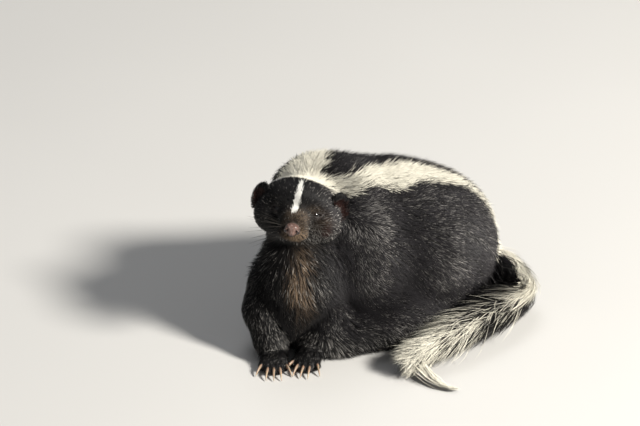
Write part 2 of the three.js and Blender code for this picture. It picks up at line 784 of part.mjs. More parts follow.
// The space above the neck's plane and ahead of another, less a margin
function frontSpace(plane, margin) {
  return [[NECK_CUT, NECK_CUT_AHEAD], plane].reduce((space, [at, way]) => {
    const normal = vector(way).normalize();
    return space.trimByPlane(triple(normal), normal.dot(vector(at)) + margin);
  }, wasm.Manifold.cube([600, 600, 600], true));
}

function makeBody() {
  const behind = keepAhead(coat, HEAD_CUT, turned(HEAD_CUT_AHEAD));
  add("nape_patch", largest(behind.intersect(band(NAPE))), WHITE);
  const wide = { grown: GAP };
  let rest = coat.subtract(band({ ...NAPE, ...wide }));
  [["stripe_left", STRIPE_LEFT], ["stripe_right", STRIPE_RIGHT]].forEach(([name, mark]) => {
    add(name, largest(rest.intersect(band(mark))), WHITE);
    rest = rest.subtract(band({ ...mark, ...wide }));
  });
  const shoulder = [SHOULDER_CUT, SHOULDER_CUT_AHEAD];
  const neck = rest.intersect(frontSpace(shoulder, GAP / 2));
  add("neck", largest(keepAhead(neck, HEAD_CUT, turned(HEAD_CUT_AHEAD))), BLACK);
  const behindNeck = rest.subtract(frontSpace(shoulder, -GAP / 2));
  add("torso", largest(behindNeck.subtract(frontSpace([HEAD_CUT, HEAD_CUT_AHEAD], -GAP / 2))), BLACK);
}

// A point beside the tail's line, at a share of its length that may pass 1, an angle and a distance
function besideTail(t, angle, far) {
  const u = Math.min(1, t);
  const along = TAIL_LINE.getTangentAt(u);
  const side = along.clone().cross(UP).normalize();
  const up = side.clone().cross(along).normalize();
  const p = TAIL_LINE.getPointAt(u).addScaledVector(along, (t - u) * TAIL_LENGTH);
  p.addScaledVector(side, Math.sin(angle) * far * 1.12).addScaledVector(up, Math.cos(angle) * far);
  return p;
}

// One flat lock of the tail: it leaves the core, bends outwards and ends on the brush's outline,
// or further in the crook between the tail's root and the rump.
function tailLock(t, angle, draw) {
  const { length, wide, thick } = TAIL_LOCK;
  const reach = (length * (0.85 + 0.3 * draw())) / TAIL_LENGTH;
  const sway = (draw() - 0.5) * 0.2;
  const crook = Math.max(0, Math.sin(angle)) * Math.max(0, 1 - Math.abs(t - 0.2) / 0.25);
  const tip = tailBush(t + reach) * (0.93 + 0.14 * draw()) * (1 + 0.7 * crook);
  const root = tailCore(t) - 4;
  const points = [0, 0.36, 0.7, 1].map((s) => {
    const far = root + (tip - root) * s ** 0.9;
    const p = besideTail(t + reach * s, angle + sway * s, far);
    for (let i = 0; i < 3 && s > 0; i += 1) {
      const near = body(p.x, p.y, p.z);
      if (near < 3.5) p.addScaledVector(slope(body, p).normalize(), 3.5 - near);
    }
    p.z = Math.max(p.z, -0.4);
    return p;
  });
  const across = points.map((p, i) => {
    const t0 = Math.min(1, t + (reach * i) / 3);
    const along = TAIL_LINE.getTangentAt(t0);
    const out = p.clone().sub(TAIL_LINE.getPointAt(t0));
    return out.cross(along).normalize();
  });
  const shape = [0.4, 0.72, 0.95];
  return { points, across, wide: shape.map((v) => v * wide), thick: [thick, thick, thick * 0.8], sides: 3 };
}

function makeTail() {
  const draw = dice(13);
  const locks = [];
  for (let row = 0; row < TAIL_LOCK.rows; row += 1) {
    const t = 0.03 + (0.86 * row) / (TAIL_LOCK.rows - 1);
    const around = TAIL_LOCK.around - (t > 0.6 ? 1 : 0) - (t > 0.75 ? 1 : 0);
    for (let k = 0; k < around; k += 1) {
      const angle = (2 * Math.PI * (k + (row % 2) / 2 + 0.3 * (draw() - 0.5))) / around;
      const root = besideTail(t, angle, tailCore(t));
      if (body(root.x, root.y, root.z) > 1) locks.push({ row: t, solid: bar(tailLock(t, angle, draw)) });
    }
  }
  [-1, 0, 1].forEach((k) => {
    const points = TIP_LOCK.map((p, i) => p.clone().add(vector([k * i * 0.9, k * (i - 2) * 0.8, 0])));
    const wide = [0.5, 0.62, 0.6, 0.4].map((v) => v * TAIL_LOCK.wide * (1 - 0.2 * Math.abs(k)));
    const across = points.map(() => vector([0.8, 0.6, 0]));
    locks.push({ row: 0.95, solid: bar({ points, across, wide, thick: [2, 2, 1.8, 1.3], sides: 3 }) });
  });
  const core = skinned(tail, ...TAIL_BOX, 6.5);
  const clear = (solid) => {
    let rest = solid.trimByPlane([0, 0, 1], FLOOR).subtract(coatRoom).subtract(grown(coat));
    ["hindleg_left", "foreleg_left"].forEach((leg) => {
      rest = rest.subtract(grown(nodes[leg]));
    });
    return rest;
  };

  // Each span keeps its own rows of locks whole, and the spans before it are cut clear of it.
  let ahead = null;
  [...TAIL_SPANS].reverse().forEach(([name, from, to]) => {
    const ends = [from, to].map((t) => [TAIL_LINE.getPointAt(t), TAIL_LINE.getTangentAt(t)]);
    let piece = core;
    if (from > 0) piece = keepAhead(piece, triple(ends[0][0]), triple(ends[0][1]));
    if (to < 1) piece = keepAhead(piece, triple(ends[1][0]), triple(ends[1][1].negate()));
    const own = locks.filter((lock) => lock.row >= from && lock.row < to).map((lock) => lock.solid);
    piece = clear(wasm.Manifold.union([piece, ...own]));
    if (ahead) piece = piece.subtract(grown(ahead));
    piece = largest(piece);
    ahead = ahead ? ahead.add(piece) : piece;
    add(name, piece, WHITE);
  });
}

makeHead();
makeNose();
makeEyes();
makeEars();
makeBody();
makeLegs();
makeTail();

// The origin is in the middle of the whole animal, on the floor.
const reach = new THREE.Box3().setFromObject(group);
const middle = reach.getCenter(new THREE.Vector3());
group.position.set(-middle.x, -middle.y, 0);
export default group;
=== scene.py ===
"""A life-size striped skunk, crouched with its head raised and its tail laid round its left side.

Forms are worked out in millimetres in the model's own drawing frame, and turned into metres when
a mesh is made. The skin is a net drawn over soft forms, and the coat is many thin bent tufts.
"""

import math
from concurrent.futures import ThreadPoolExecutor
from itertools import product

import bpy
import numpy as np
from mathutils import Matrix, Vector


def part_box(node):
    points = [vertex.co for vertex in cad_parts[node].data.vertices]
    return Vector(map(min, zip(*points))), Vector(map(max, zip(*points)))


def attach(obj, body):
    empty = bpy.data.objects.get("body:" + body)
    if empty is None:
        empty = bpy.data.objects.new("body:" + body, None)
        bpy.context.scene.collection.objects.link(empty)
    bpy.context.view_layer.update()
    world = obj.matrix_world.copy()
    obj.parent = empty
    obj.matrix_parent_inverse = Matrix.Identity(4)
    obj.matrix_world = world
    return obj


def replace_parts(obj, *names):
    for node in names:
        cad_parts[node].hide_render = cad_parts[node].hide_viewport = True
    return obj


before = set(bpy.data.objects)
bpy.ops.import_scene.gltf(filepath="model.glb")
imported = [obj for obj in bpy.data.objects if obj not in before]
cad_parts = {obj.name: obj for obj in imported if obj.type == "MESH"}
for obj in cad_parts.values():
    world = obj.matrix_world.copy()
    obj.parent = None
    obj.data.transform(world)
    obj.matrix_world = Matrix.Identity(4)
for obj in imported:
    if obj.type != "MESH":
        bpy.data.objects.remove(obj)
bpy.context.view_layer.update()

# Driving sizes, in millimetres
HEAD_AT = np.array([4.6, 34, 126.4])
HEAD_TURNS = {"pitch": -20, "roll": 8, "yaw": -7}
EYE_AT = np.array([13.6, -3.5, 0])
EYE_RADIUS = 4.4
NOSE_AT = np.array([0, -35.5, -8])
EAR = {
    "at": np.array([30.5, 13, 5]),
    "right_drop": np.array([1.4, 0, -2.6]),
    "half": np.array([8, 4.6, 10]),
    "turn": 34,
}
CLAW_FRONT = 11
CLAW_HIND = 7
TAIL_BUSH = 22
COAT_DEPTH = {"body": 6.5, "face": 1.5, "leg": 2.4, "foot": 0.5, "tail": 3}

# Coat: lengths and half widths in millimetres, hairs on each square millimetre, and numbers of hairs
HAIR_LENGTH = {"body": 13.5, "leg": 9.5, "foot": 4.2, "rump": 24, "tail_black": 36, "tail_white": 46}
HAIR_WIDTH = {"body": 0.25, "leg": 0.22, "foot": 0.18}
HAIR_DENSITY = {"body": 0.7, "leg": 0.95, "foot": 1.7, "ear": 3.4}
HAIR_COUNT = {"rump": 900, "tail_black": 9500, "tail_white": 7400, "tail_tip": 420}

FAR = 60.0
CORES = 4

# Scales for the number and the width of the hairs, which a quicker scene would make fewer and wider.
DENSITY = 1.0
WIDENING = 1.0


# Soft forms: functions of an (n, 3) array of points that are negative inside
def lump(at, half, turn=0.0):
    c, s = math.cos(math.radians(turn)), math.sin(math.radians(turn))
    a, b, h = half

    def field(p):
        dx, dy = p[:, 0] - at[0], p[:, 1] - at[1]
        u, v, w = (dx * c + dy * s) / a, (dy * c - dx * s) / b, (p[:, 2] - at[2]) / h
        outer = np.sqrt(u * u + v * v + w * w)
        steep = np.sqrt((u / a) ** 2 + (v / b) ** 2 + (w / h) ** 2)
        return outer * (outer - 1) / np.maximum(steep, 1e-6)

    return field


def limb(a, b, radius_a, radius_b):
    a = np.asarray(a, float)
    d = np.asarray(b, float) - a
    square = d @ d

    def field(p):
        q = p - a
        t = np.clip(q @ d / square, 0, 1)
        return norm(q - t[:, None] * d) - radius_a - (radius_b - radius_a) * t

    return field


def melt(a, b, k):
    h = np.maximum(k - np.abs(a - b), 0)
    return np.minimum(a, b) - h * h / (4 * k)


def melted(forms, k):
    def field(p):
        d = forms[0](p)
        for form in forms[1:]:
            d = melt(d, form(p), k)
        return d

    return field


def nearby(field, at, reach):
    """The field within a distance of a point, and a plain large value past it."""

    def limited(p):
        out = np.full(len(p), FAR)
        close = ((p - at) ** 2).sum(1) < reach * reach
        if close.any():
            out[close] = field(p[close])
        return out

    return limited


def evaluate(field, p, share=120_000):
    """The field at many points, a share at a time on each core."""
    parts = [p[i : i + share] for i in range(0, len(p), share)]
    with ThreadPoolExecutor(CORES) as pool:
        return np.concatenate(list(pool.map(field, parts)))


def slope(field, p, e=0.3):
    steps = np.eye(3) * e
    return np.stack([evaluate(field, p + s) - evaluate(field, p - s) for s in steps], 1) / (2 * e)


def norm(v):
    return np.linalg.norm(v, axis=-1)


def unit(v):
    return v / np.maximum(np.linalg.norm(v, axis=-1, keepdims=True), 1e-9)


def smooth(x, low, high):
    t = np.clip((x - low) / (high - low), 0, 1)
    return t * t * (3 - 2 * t)


def blend(a, b, share):
    return a * (1 - share) + b * share


def mixed(a, b, share):
    return blend(a, b, share[:, None])


def blob(p, at, half):
    """1 at a place, falling off smoothly round it."""
    return np.exp(-(((p - at) / half) ** 2).sum(1))


def spots(p, rows):
    """The sum of some blobs, each with its strength, place and size."""
    return sum(strength * blob(p, at, half) for strength, at, half in rows)


def turns(count):
    return np.linspace(0, 2 * math.pi, count, endpoint=False)


def settle(field, p, height=0.0, rounds=3, most=6.0):
    """Moves points onto the surface that lies a height above a soft form."""
    q = p.copy()
    for _ in range(rounds):
        g = slope(field, q)
        off = (evaluate(field, q) - height) / np.maximum((g * g).sum(1), 0.1)
        q -= g * np.clip(off, -most, most)[:, None]
    return q


def turn_matrix(axis, degrees):
    c, s = math.cos(math.radians(degrees)), math.sin(math.radians(degrees))
    i, j = [(1, 2), (2, 0), (0, 1)]["xyz".index(axis)]
    m = np.eye(3)
    m[i, i] = m[j, j] = c
    m[i, j], m[j, i] = -s, s
    return m


# Head: its own frame has the middle of the two eyes at 0, -Y ahead and +X to the animal's left.
HEAD_TURN = (
    turn_matrix("z", HEAD_TURNS["yaw"])
    @ turn_matrix("y", HEAD_TURNS["roll"])
    @ turn_matrix("x", HEAD_TURNS["pitch"])
)
BOTH = (-1, 1)


def to_head(p):
    return (p - HEAD_AT) @ HEAD_TURN


def from_head(p):
    return np.asarray(p, float) @ HEAD_TURN.T + HEAD_AT


HEAD_FORMS = [
    lump([0, 22, 1.5], [30.5, 35, 23.5]),
    lump([0, 4, 3], [19, 16, 15.5]),
    lump([0, -12, -4], [12, 21, 10.5]),
    lump([0, -27, -8], [7.5, 9, 7]),
    lump([0, -13, -14], [9.5, 17, 6.5]),
    lump([0, 16, -14], [24, 24, 13]),
    *[lump([s * 20, 13, -7], [14, 19, 15]) for s in BOTH],
    *[lump([s * 5.5, -24, -11.5], [6.5, 10, 5.5]) for s in BOTH],
    *[lump([s * 11.5, 2, 8], [8, 8, 5]) for s in BOTH],
]
head_local = melted(HEAD_FORMS, 5)


head = nearby(lambda p: head_local(to_head(p)), from_head([0, 10, 0]), 85)

# Body: lumps along the spine, from the neck to the root of the tail
TRUNK_FORMS = [
    lump([126, 111, 56], [38, 46, 50], 10),
    lump([104, 102, 63], [48, 62, 61], 10),
    lump([78, 99, 72], [42, 54, 62], 15),
    lump([50, 87, 70], [42, 62, 71], 20),
    lump([24, 92, 72], [37, 54, 67], 25),
    lump([8, 50, 62], [38, 34, 46], 25),
    lump([66, 70, 22], [56, 48, 27], 20),
    lump([52, 50, 15], [34, 27, 19], 20),
    lump([84, 60, 26], [28, 26, 29], 15),
    lump([98, 136, 28], [30, 26, 28], 10),
    lump([2, 44, 26], [24, 22, 28], 10),
    lump([33, 31, 13], [17, 16, 17], 10),
]
NECK_FORMS = [
    lump([14, 88, 100], [36, 38, 34], 25),
    limb([6, 68, 106], [20, 86, 94], 27, 34),
]
trunk = melted(TRUNK_FORMS, 18)
neck = melted(NECK_FORMS, 14)


def body(p):
    hollow = 4 * blob(p, [-16, 70, 138], [14, 20, 16])
    return melt(melt(trunk(p), neck(p), 16) + hollow, head(p), 8)


# Legs: shoulder or hip, elbow or knee, wrist or heel, then the foot's middle and heading
def made_leg(joints, radii, foot, heading, front=False):
    foot = np.array(foot, float)
    return {"joints": joints, "radii": radii, "foot": foot, "heading": heading, "front": front}


LEGS = {
    "foreleg_right": made_leg(
        [[-16, 50, 50], [-22, 39, 34], [-17, 24, 14], [-14, 19, 8]], [20, 16, 12, 9], [-14, 13, 0], -90, True
    ),
    "foreleg_left": made_leg(
        [[26, 52, 48], [31, 41, 26], [21, 28, 13], [14, 22, 8]], [18, 15, 12, 9], [13, 16, 0], -105, True
    ),
    "hindleg_right": made_leg(
        [[112, 138, 42], [78, 146, 26], [108, 152, 14], [92, 150, 9]], [22, 17, 11, 9], [82, 148, 0], 190
    ),
    "hindleg_left": made_leg(
        [[112, 74, 40], [80, 52, 24], [110, 56, 14], [94, 48, 9]], [22, 17, 11, 9], [82, 46, 0], 190
    ),
}
TOE_SPREAD = 13
FOOT = {"palm": [11, 10.5, 7], "length": 15, "toe": 3.4}


def leg_field(leg):
    joints, radii = leg["joints"], leg["radii"]
    bones = [limb(joints[i], joints[i + 1], radii[i], radii[i + 1]) for i in range(3)]
    return nearby(melted(bones, 8), np.mean(joints, 0), 75)


def toe_line(i, front):
    """Start and tip of a toe in its foot's own frame, with the toes ahead along +X."""
    angle = math.radians((i - 2) * TOE_SPREAD)
    reach = FOOT["length"] - (4.5 if i in (0, 4) else 0) + (0 if front else 1)
    start = np.array([5 * math.cos(angle), (i - 2) * 3.6, 5.5])
    tip = np.array([reach * math.cos(angle), (i - 2) * 3.7 + 5 * math.sin(angle), 3.2])
    return start, tip


def foot_to_world(leg, p):
    return np.asarray(p, float) @ turn_matrix("z", leg["heading"]).T + leg["foot"]


def foot_field(leg):
    toes = [limb(*toe_line(i, leg["front"]), FOOT["toe"] + 0.5, FOOT["toe"] - 0.2) for i in range(5)]
    own = melted([lump([0, 0, 5], FOOT["palm"]), *toes], 1.6)
    turn = turn_matrix("z", leg["heading"])
    return nearby(lambda p: own((p - leg["foot"]) @ turn), leg["foot"], 38)


LEG_FIELDS = {name: leg_field(leg) for name, leg in LEGS.items()}
FOOT_FIELDS = {name: foot_field(leg) for name, leg in LEGS.items()}


def limb_heights(p):
    """Heights above the skin of each leg, and of each foot."""
    legs = np.array([field(p) for field in LEG_FIELDS.values()]) + COAT_DEPTH["leg"]
    feet = np.array([field(p) for field in FOOT_FIELDS.values()]) + COAT_DEPTH["foot"]
    return legs, feet


def whole_limbs(p):
    """The distance to each leg with its foot."""
    return np.array([np.minimum(LEG_FIELDS[name](p), FOOT_FIELDS[name](p)) for name in LEGS])


# Lines: smooth curves through a few points, as even samples
def smooth_line(points, count=161):
    """A Catmull-Rom curve through the points, of centripetal kind, sampled evenly along its length."""
    p = np.asarray(points, float)
    p = np.vstack([2 * p[0] - p[1], p, 2 * p[-1] - p[-2]])
    rows = []
    for i in range(1, len(p) - 2):
        level = p[i - 1 : i + 3]
        knots = np.cumsum([0, *np.sqrt(norm(np.diff(level, axis=0)))])
        t = np.linspace(knots[1], knots[2], 40, endpoint=False)[:, None]
        for low, high in ((knots[:3], knots[1:]), (knots[:2], knots[2:]), (knots[1:2], knots[2:3])):
            pairs = zip(low, high, level, level[1:])
            level = [((b - t) * left + (t - a) * right) / (b - a) for a, b, left, right in pairs]
        rows.append(level[0])
    dense = np.vstack([*rows, p[-2]])
    run = np.cumsum([0, *norm(np.diff(dense, axis=0))])
    even = np.linspace(0, run[-1], count)
    return np.stack([np.interp(even, run, dense[:, a]) for a in range(3)], 1)


def directions(line):
    return unit(np.gradient(line, axis=0))


SPINE_KNOTS = [
    [8, 58, 98], [24, 76, 78], [50, 87, 72], [78, 98, 70], [104, 104, 64], [126, 111, 58], [150, 113, 54],
]
SPINE = smooth_line(SPINE_KNOTS, 41)
TAIL_KNOTS = [
    [144, 112, 46], [163, 112, 36], [178, 103, 24], [183, 86, 19], [166, 64, 20],
    [141, 40, 20], [118, 20, 18], [104, 9, 16], [95, 3, 13],
]
TAIL_LINE = smooth_line(TAIL_KNOTS)
TAIL_LENGTH = norm(np.diff(TAIL_LINE, axis=0)).sum()


def on_line(line, t):
    """Points of an evenly sampled line at shares of its length, and past its end along its tangent."""
    u = np.clip(t, 0, 1) * (len(line) - 1)
    i = np.minimum(u.astype(int), len(line) - 2)
    p = line[i] + (line[i + 1] - line[i]) * (u - i)[:, None]
    ahead = directions(line)
    d = unit(ahead[i] * (1 - (u - i))[:, None] + ahead[i + 1] * (u - i)[:, None])
    length = norm(np.diff(line, axis=0)).sum()
    return p + d * (np.maximum(t - 1, 0) * length)[:, None], d


# The brush narrows where the tail bends, is widest past its middle and ends blunt.
TAIL_SHAPE = [0, 0.2, 0.36, 0.6, 0.82, 1, 1.2], [0.8, 0.62, 0.66, 0.98, 0.92, 0.68, 0.4]


def tail_bush(t):
    return TAIL_BUSH * np.interp(t, *TAIL_SHAPE)


def tail_core(t):
    return 0.5 * tail_bush(t) * np.minimum(1, 1.5 * (1 - t) + 0.4)


def tail_forms():
    cuts = np.linspace(0, 0.9, 13)
    ends, _ = on_line(TAIL_LINE, cuts)
    reach = tail_core(cuts)
    return [limb(ends[i], ends[i + 1], reach[i], reach[i + 1]) for i in range(12)]


tail = melted(tail_forms(), 3)
TIP_LOCK = [[96, 8, 12], [102, -6, 8], [112, -20, 5], [122, -26, 3.5], [130, -26, 2.5]]

# Planes where the head and the neck part from the coat of the trunk
HEAD_CUT = np.array([6, 64, 118])
HEAD_CUT_AHEAD = np.array([-0.45, -0.86, -0.25])
NECK_CUT = np.array([10, 45, 108])
NECK_CUT_AHEAD = np.array([-0.15, -0.3, 0.94])


def behind_face(p):
    """How far a point lies behind the planes that bound the head, in millimetres."""
    planes = ((HEAD_CUT, HEAD_CUT_AHEAD), (NECK_CUT, NECK_CUT_AHEAD))
    return -np.min([(p - at) @ way for at, way in planes], axis=0)


def coat_depth(p):
    return blend(COAT_DEPTH["face"], COAT_DEPTH["body"], smooth(behind_face(p), -6, 22))


def on_head(p, low=-8, high=16):
    """1 on the head and 0 behind it, with a soft change over a stretch of millimetres."""
    return 1 - smooth(behind_face(p), low, high)


def hide(p):
    """The skin under the coat, without the eyes, ears and mouth."""
    d = body(p) + coat_depth(p)
    for leg, foot in zip(*limb_heights(p)):
        d = melt(melt(d, leg, 7), foot, 2.5)
    return melt(d, tail(p) + COAT_DEPTH["tail"], 8)


EAR_AT = {1: EAR["at"], -1: EAR["at"] * [-1, 1, 1] + EAR["right_drop"]}


def to_ear(p, side):
    """Places in an ear's own frame, with its opening towards -Y."""
    return (to_head(p) - EAR_AT[side]) @ turn_matrix("z", side * EAR["turn"])


def ear_field(side):
    outer = lump([0, 0, 0], EAR["half"])
    cup = lump([0, -EAR["half"][1] * 0.8, 0.8], EAR["half"] * [0.74, 1.0, 0.76])

    def field(p):
        q = to_ear(p, side)
        return np.maximum(outer(q) + 0.3, -cup(q))

    return nearby(field, from_head(EAR_AT[side]), 22)


EAR_FIELDS = {side: ear_field(side) for side in BOTH}


def in_ear(p, side):
    """1 in the hollow of an ear, falling to 0 at its rim."""
    q = to_ear(p, side)
    wide = norm(q[:, [0, 2]] / EAR["half"][[0, 2]])
    return smooth(0.88 - wide, 0, 0.2) * smooth(-q[:, 1], -2.4, -1.4) * (q[:, 1] > -9)


# Eyes: each has its own frame at the ball's middle, with z along the gaze and x along the lids.
def eye_frame(side):
    gaze = unit(np.array([side * 0.66, -0.72, 0.2]))
    across = unit(np.cross([0, 0, 1], gaze))
    return np.array([across, np.cross(gaze, across), gaze])


def to_eye(p, side):
    return (to_head(p) - EYE_AT * [side, 1, 1]) @ eye_frame(side).T


def from_eye(q, side):
    return from_head(np.asarray(q, float) @ eye_frame(side) + EYE_AT * [side, 1, 1])


LID = {"half": 3.9, "upper": 1.65, "lower": 1.15}


def lid_edges(x):
    """Heights of the upper and lower lid's edge above the middle of the eye, along the lids."""
    rest = np.maximum(1 - (x / LID["half"]) ** 2, 0)
    droop = 0.12 * x
    return LID["upper"] * rest**0.7 + droop * 0.3, -LID["lower"] * rest**0.8 + droop * 0.3


def lid_opening(p, side):
    q = to_eye(p, side)
    upper, lower = lid_edges(q[:, 0])
    slot = np.maximum(np.maximum(q[:, 1] - upper, lower - q[:, 1]), np.abs(q[:, 0]) - LID["half"])
    shell = EYE_RADIUS - 0.7 - norm(q)
    return np.maximum(np.maximum(slot, shell), -q[:, 2])


def eye_features(p, d):
    for side in BOTH:
        centre = from_eye([0, 0, 0], side)
        close = ((p - centre) ** 2).sum(1) < 15**2
        if close.any():
            q = p[close]
            ball = norm(q - centre) - EYE_RADIUS - 0.75
            d[close] = np.maximum(melt(d[close], ball, 2.4), -lid_opening(q, side))
    return d


MOUTH_HALF = [[17, 3, -13], [13, -12, -13.5], [9, -23, -14], [4, -31, -15]]
MOUTH = from_head([*MOUTH_HALF, [0, -33, -14], *[[-x, y, z] for x, y, z in MOUTH_HALF[::-1]]])
mouth_line = settle(body, MOUTH)


def to_line(p, line):
    """Distance to a line of points, and the share of its pieces at the nearest place."""
    best = np.full(len(p), 1e6)
    share = np.zeros(len(p))
    for i in range(len(line) - 1):
        d = line[i + 1] - line[i]
        t = np.clip((p - line[i]) @ d / (d @ d), 0, 1)
        far = norm(p - line[i] - t[:, None] * d)
        closer = far < best
        best[closer] = far[closer]
        share[closer] = i + t[closer]
    return best, share


mouth_near = nearby(lambda p: to_line(p, mouth_line)[0], from_head([0, -14, -14]), 32)


SKIN_FLOOR = 0.4


def skin_field(p):
    d = hide(p)
    for side in BOTH:
        d = melt(d, EAR_FIELDS[side](p), 1.6)
    d = eye_features(p, d)
    d = d + 1.3 * np.exp(-((mouth_near(p) / 1.1) ** 2))
    return np.maximum(d, SKIN_FLOOR - p[:, 2])


# Skin: a net of one vertex in each cell of an uneven grid that the surface crosses
def uneven(low, high, fine_low, fine_high, coarse, fine):
    """Grid places that are close together within a stretch and wider apart outside it."""
    before = np.arange(fine_low - coarse, low - coarse, -coarse)[::-1]
    within = np.arange(fine_low, fine_high, fine)
    after = np.arange(within[-1] + coarse, high + coarse, coarse)
    return np.concatenate([before, within, after])


CORNERS = np.array([[c & 1, (c >> 1) & 1, c >> 2] for c in range(8)])
CELL_EDGES = [(a, a | bit) for a in range(8) for bit in (1, 2, 4) if not a & bit]


def net(field, *spans):
    """Vertices and triangles of a soft form's surface, over a grid of places along X, Y and Z."""
    grid = np.stack(np.meshgrid(*spans, indexing="ij"), -1)
    d = evaluate(field, grid.reshape(-1, 3)).reshape(grid.shape[:3])
    edge = np.ones(d.shape, bool)
    edge[1:-1, 1:-1, 1:-1] = False
    d[edge] = np.maximum(d[edge], 0.1)
    inside = d < 0
    n = np.array(d.shape) - 1
    signs = np.array([inside[a : n[0] + a, b : n[1] + b, c : n[2] + c] for a, b, c in CORNERS])
    cells = np.argwhere(signs.any(0) & ~signs.all(0))
    corner = np.stack([d[tuple((cells + c).T)] for c in CORNERS], 1)
    place, crossed = np.zeros((len(cells), 3)), np.zeros(len(cells))
    for a, b in CELL_EDGES:
        cut = (corner[:, a] < 0) != (corner[:, b] < 0)
        t = corner[cut, a] / (corner[cut, a] - corner[cut, b])
        place[cut] += CORNERS[a] + (CORNERS[b] - CORNERS[a]) * t[:, None]
        crossed[cut] += 1
    place = cells + place / crossed[:, None]
    points = np.stack([np.interp(x, np.arange(len(s)), s) for x, s in zip(place.T, spans)], 1)
    number = np.full(n, -1)
    number[tuple(cells.T)] = np.arange(len(cells))
    quads = []
    for axis in range(3):
        step, u, v = np.roll(np.eye(3, dtype=int), -axis, 0)
        here = inside[tuple(slice(0, size - a) for size, a in zip(d.shape, step))]
        at = np.argwhere(here != inside[tuple(slice(a, None) for a in step)])
        leaving = here[tuple(at.T)]
        ring = np.stack([number[tuple((at - w).T)] for w in (0 * u, u, u + v, v)], 1)
        ring[~leaving] = ring[~leaving][:, ::-1]
        quads.append(ring)
    quads = np.concatenate(quads)
    first = norm(points[quads[:, 0]] - points[quads[:, 2]])
    other = norm(points[quads[:, 1]] - points[quads[:, 3]])
    a, b = quads[first < other], quads[first >= other]
    return points, np.concatenate([a[:, [0, 1, 2]], a[:, [0, 2, 3]], b[:, [0, 1, 3]], b[:, [1, 2, 3]]])


def drawn_onto(field, points, reach):
    """Points drawn onto the surface, each by no more than a small distance."""
    q = settle(field, points, rounds=2, most=reach)
    moved = q - points
    far = np.linalg.norm(moved, axis=1, keepdims=True)
    return points + moved * np.minimum(1, reach / np.maximum(far, 1e-9))


# Markings: the nape patch forks into two stripes, and a thin blaze runs down the face.
def band(points, wide):
    """A line drawn onto the coat, and half its width at each point."""
    return {"line": settle(body, np.asarray(points, float), rounds=5), "wide": wide}


NAPE_POINTS = [[-18, 58, 139], [-13, 67, 139], [-1, 78, 139], [9, 89, 137], [14, 98, 135]]
NAPE = band(NAPE_POINTS, [41, 39, 28, 19, 13])
NAPE_AHEAD = np.array([0.1, 0.95, 0.3])
STRIPE_WIDE = [8, 8, 11, 12, 11, 8.4, 6, 4.4, 3.6, 3.5, 4]
STRIPE_LEFT = [
    [20, 66, 133], [44, 66, 129], [68, 78, 129], [88, 88, 129], [104, 95, 127], [118, 103, 121],
    [132, 108, 113], [146, 108, 100], [154, 107, 84], [160, 109, 62], [166, 107, 46],
]
STRIPE_RIGHT = [
    [8, 96, 132], [24, 114, 128], [44, 130, 119], [66, 141, 110], [86, 143, 108], [106, 141, 106],
    [124, 135, 102], [140, 127, 94], [151, 120, 82], [159, 117, 68], [164, 113, 48],
]
STRIPES = [band(points, STRIPE_WIDE) for points in (STRIPE_LEFT, STRIPE_RIGHT)]
BLAZE_POINTS = [[-0.4, 9, 27], [-0.8, 1, 21], [-1, -7, 15], [-1.2, -14, 9], [-1.5, -21, 4], [-1.6, -25, 2]]
BLAZE = band(from_head(BLAZE_POINTS), [0.9, 1.5, 2.2, 2.6, 2.5, 1])


def past_band(p, band):
    """How far a point lies outside a band's edge, negative inside."""
    far, share = to_line(p, band["line"])
    return far - np.interp(share, np.arange(len(band["wide"])), band["wide"])


def white_share(p, soft=1.5):
    """1 where the hair is white, 0 where it is black, with a narrow mixed edge."""
    nape = np.where((p - HEAD_CUT) @ NAPE_AHEAD > 1, past_band(p, NAPE), 9)
    d = np.min([nape, *[past_band(p, stripe) for stripe in STRIPES]], 0)
    return np.maximum(smooth(-d, -soft, soft), smooth(-past_band(p, BLAZE), -0.5, 0.5))


BLACK = np.array([0.0062, 0.0058, 0.0064])
# Painted glints: a light grey put on hair tips where the black hair catches the light.
GLINT = np.array([0.56, 0.535, 0.50])
CREAM = np.array([0.86, 0.82, 0.69])
BLAZE_WHITE = np.array([0.88, 0.87, 0.83])
TAN = np.array([0.27, 0.19, 0.125])
EAR_BROWN = np.array([0.021, 0.0085, 0.007])
LID_DARK = np.array([0.018, 0.012, 0.010])
LIP_DARK = np.array([0.02, 0.012, 0.010])
NOSE_PINK = np.array([0.205, 0.118, 0.092])
NOSE_BROWN = np.array([0.10, 0.052, 0.042])
# Painted shade at the nose pad's sides and underneath.
NOSE_EDGE_SHADE = np.array([0.035, 0.019, 0.017])
# Painted shade in the nostrils.
NOSTRIL_SHADE = np.array([0.012, 0.006, 0.006])
PUPIL = np.array([0.002, 0.002, 0.002])
IRIS = np.array([0.014, 0.007, 0.005])
CLAW_ROOT = np.array([0.22, 0.125, 0.09])
CLAW_TIP = np.array([0.50, 0.39, 0.27])
WHISKER = np.array([0.05, 0.045, 0.04])

# Spots of colour, some of them painted light (glints, a sheen and the lit side's tan): how strong, where and
# how large; those of the face are in the head's frame.
# Tan fur round the nose, the bridge and the chin, weighted to the left side; with the patches above the left
# eye and on the left cheek it is partly painted light where the key falls.
FACE_TAN_AND_LIGHT = [
    (1, [4, -32, -13], [9, 9, 7]),
    (0.6, [8, -28, -16], [7, 8, 5]),
    (0.6, [2, -23, 0], [8, 8, 6]),
    (0.38, EYE_AT + [-2, -2.5, 5], [5.5, 5, 3]),
    (0.25, [21, -3, -5], [7, 9, 7]),
]
# Painted glints on the left cheek, the lit side of the face.
GLINT_ON_CHEEK = [(0.36, [20, -6, -12], [12, 16, 9])]
# Painted highlight: a brown sheen down the middle of the chest.
CHEST_SHEEN = [(0.95, [7, 14, 70], [6.5, 22, 23])]
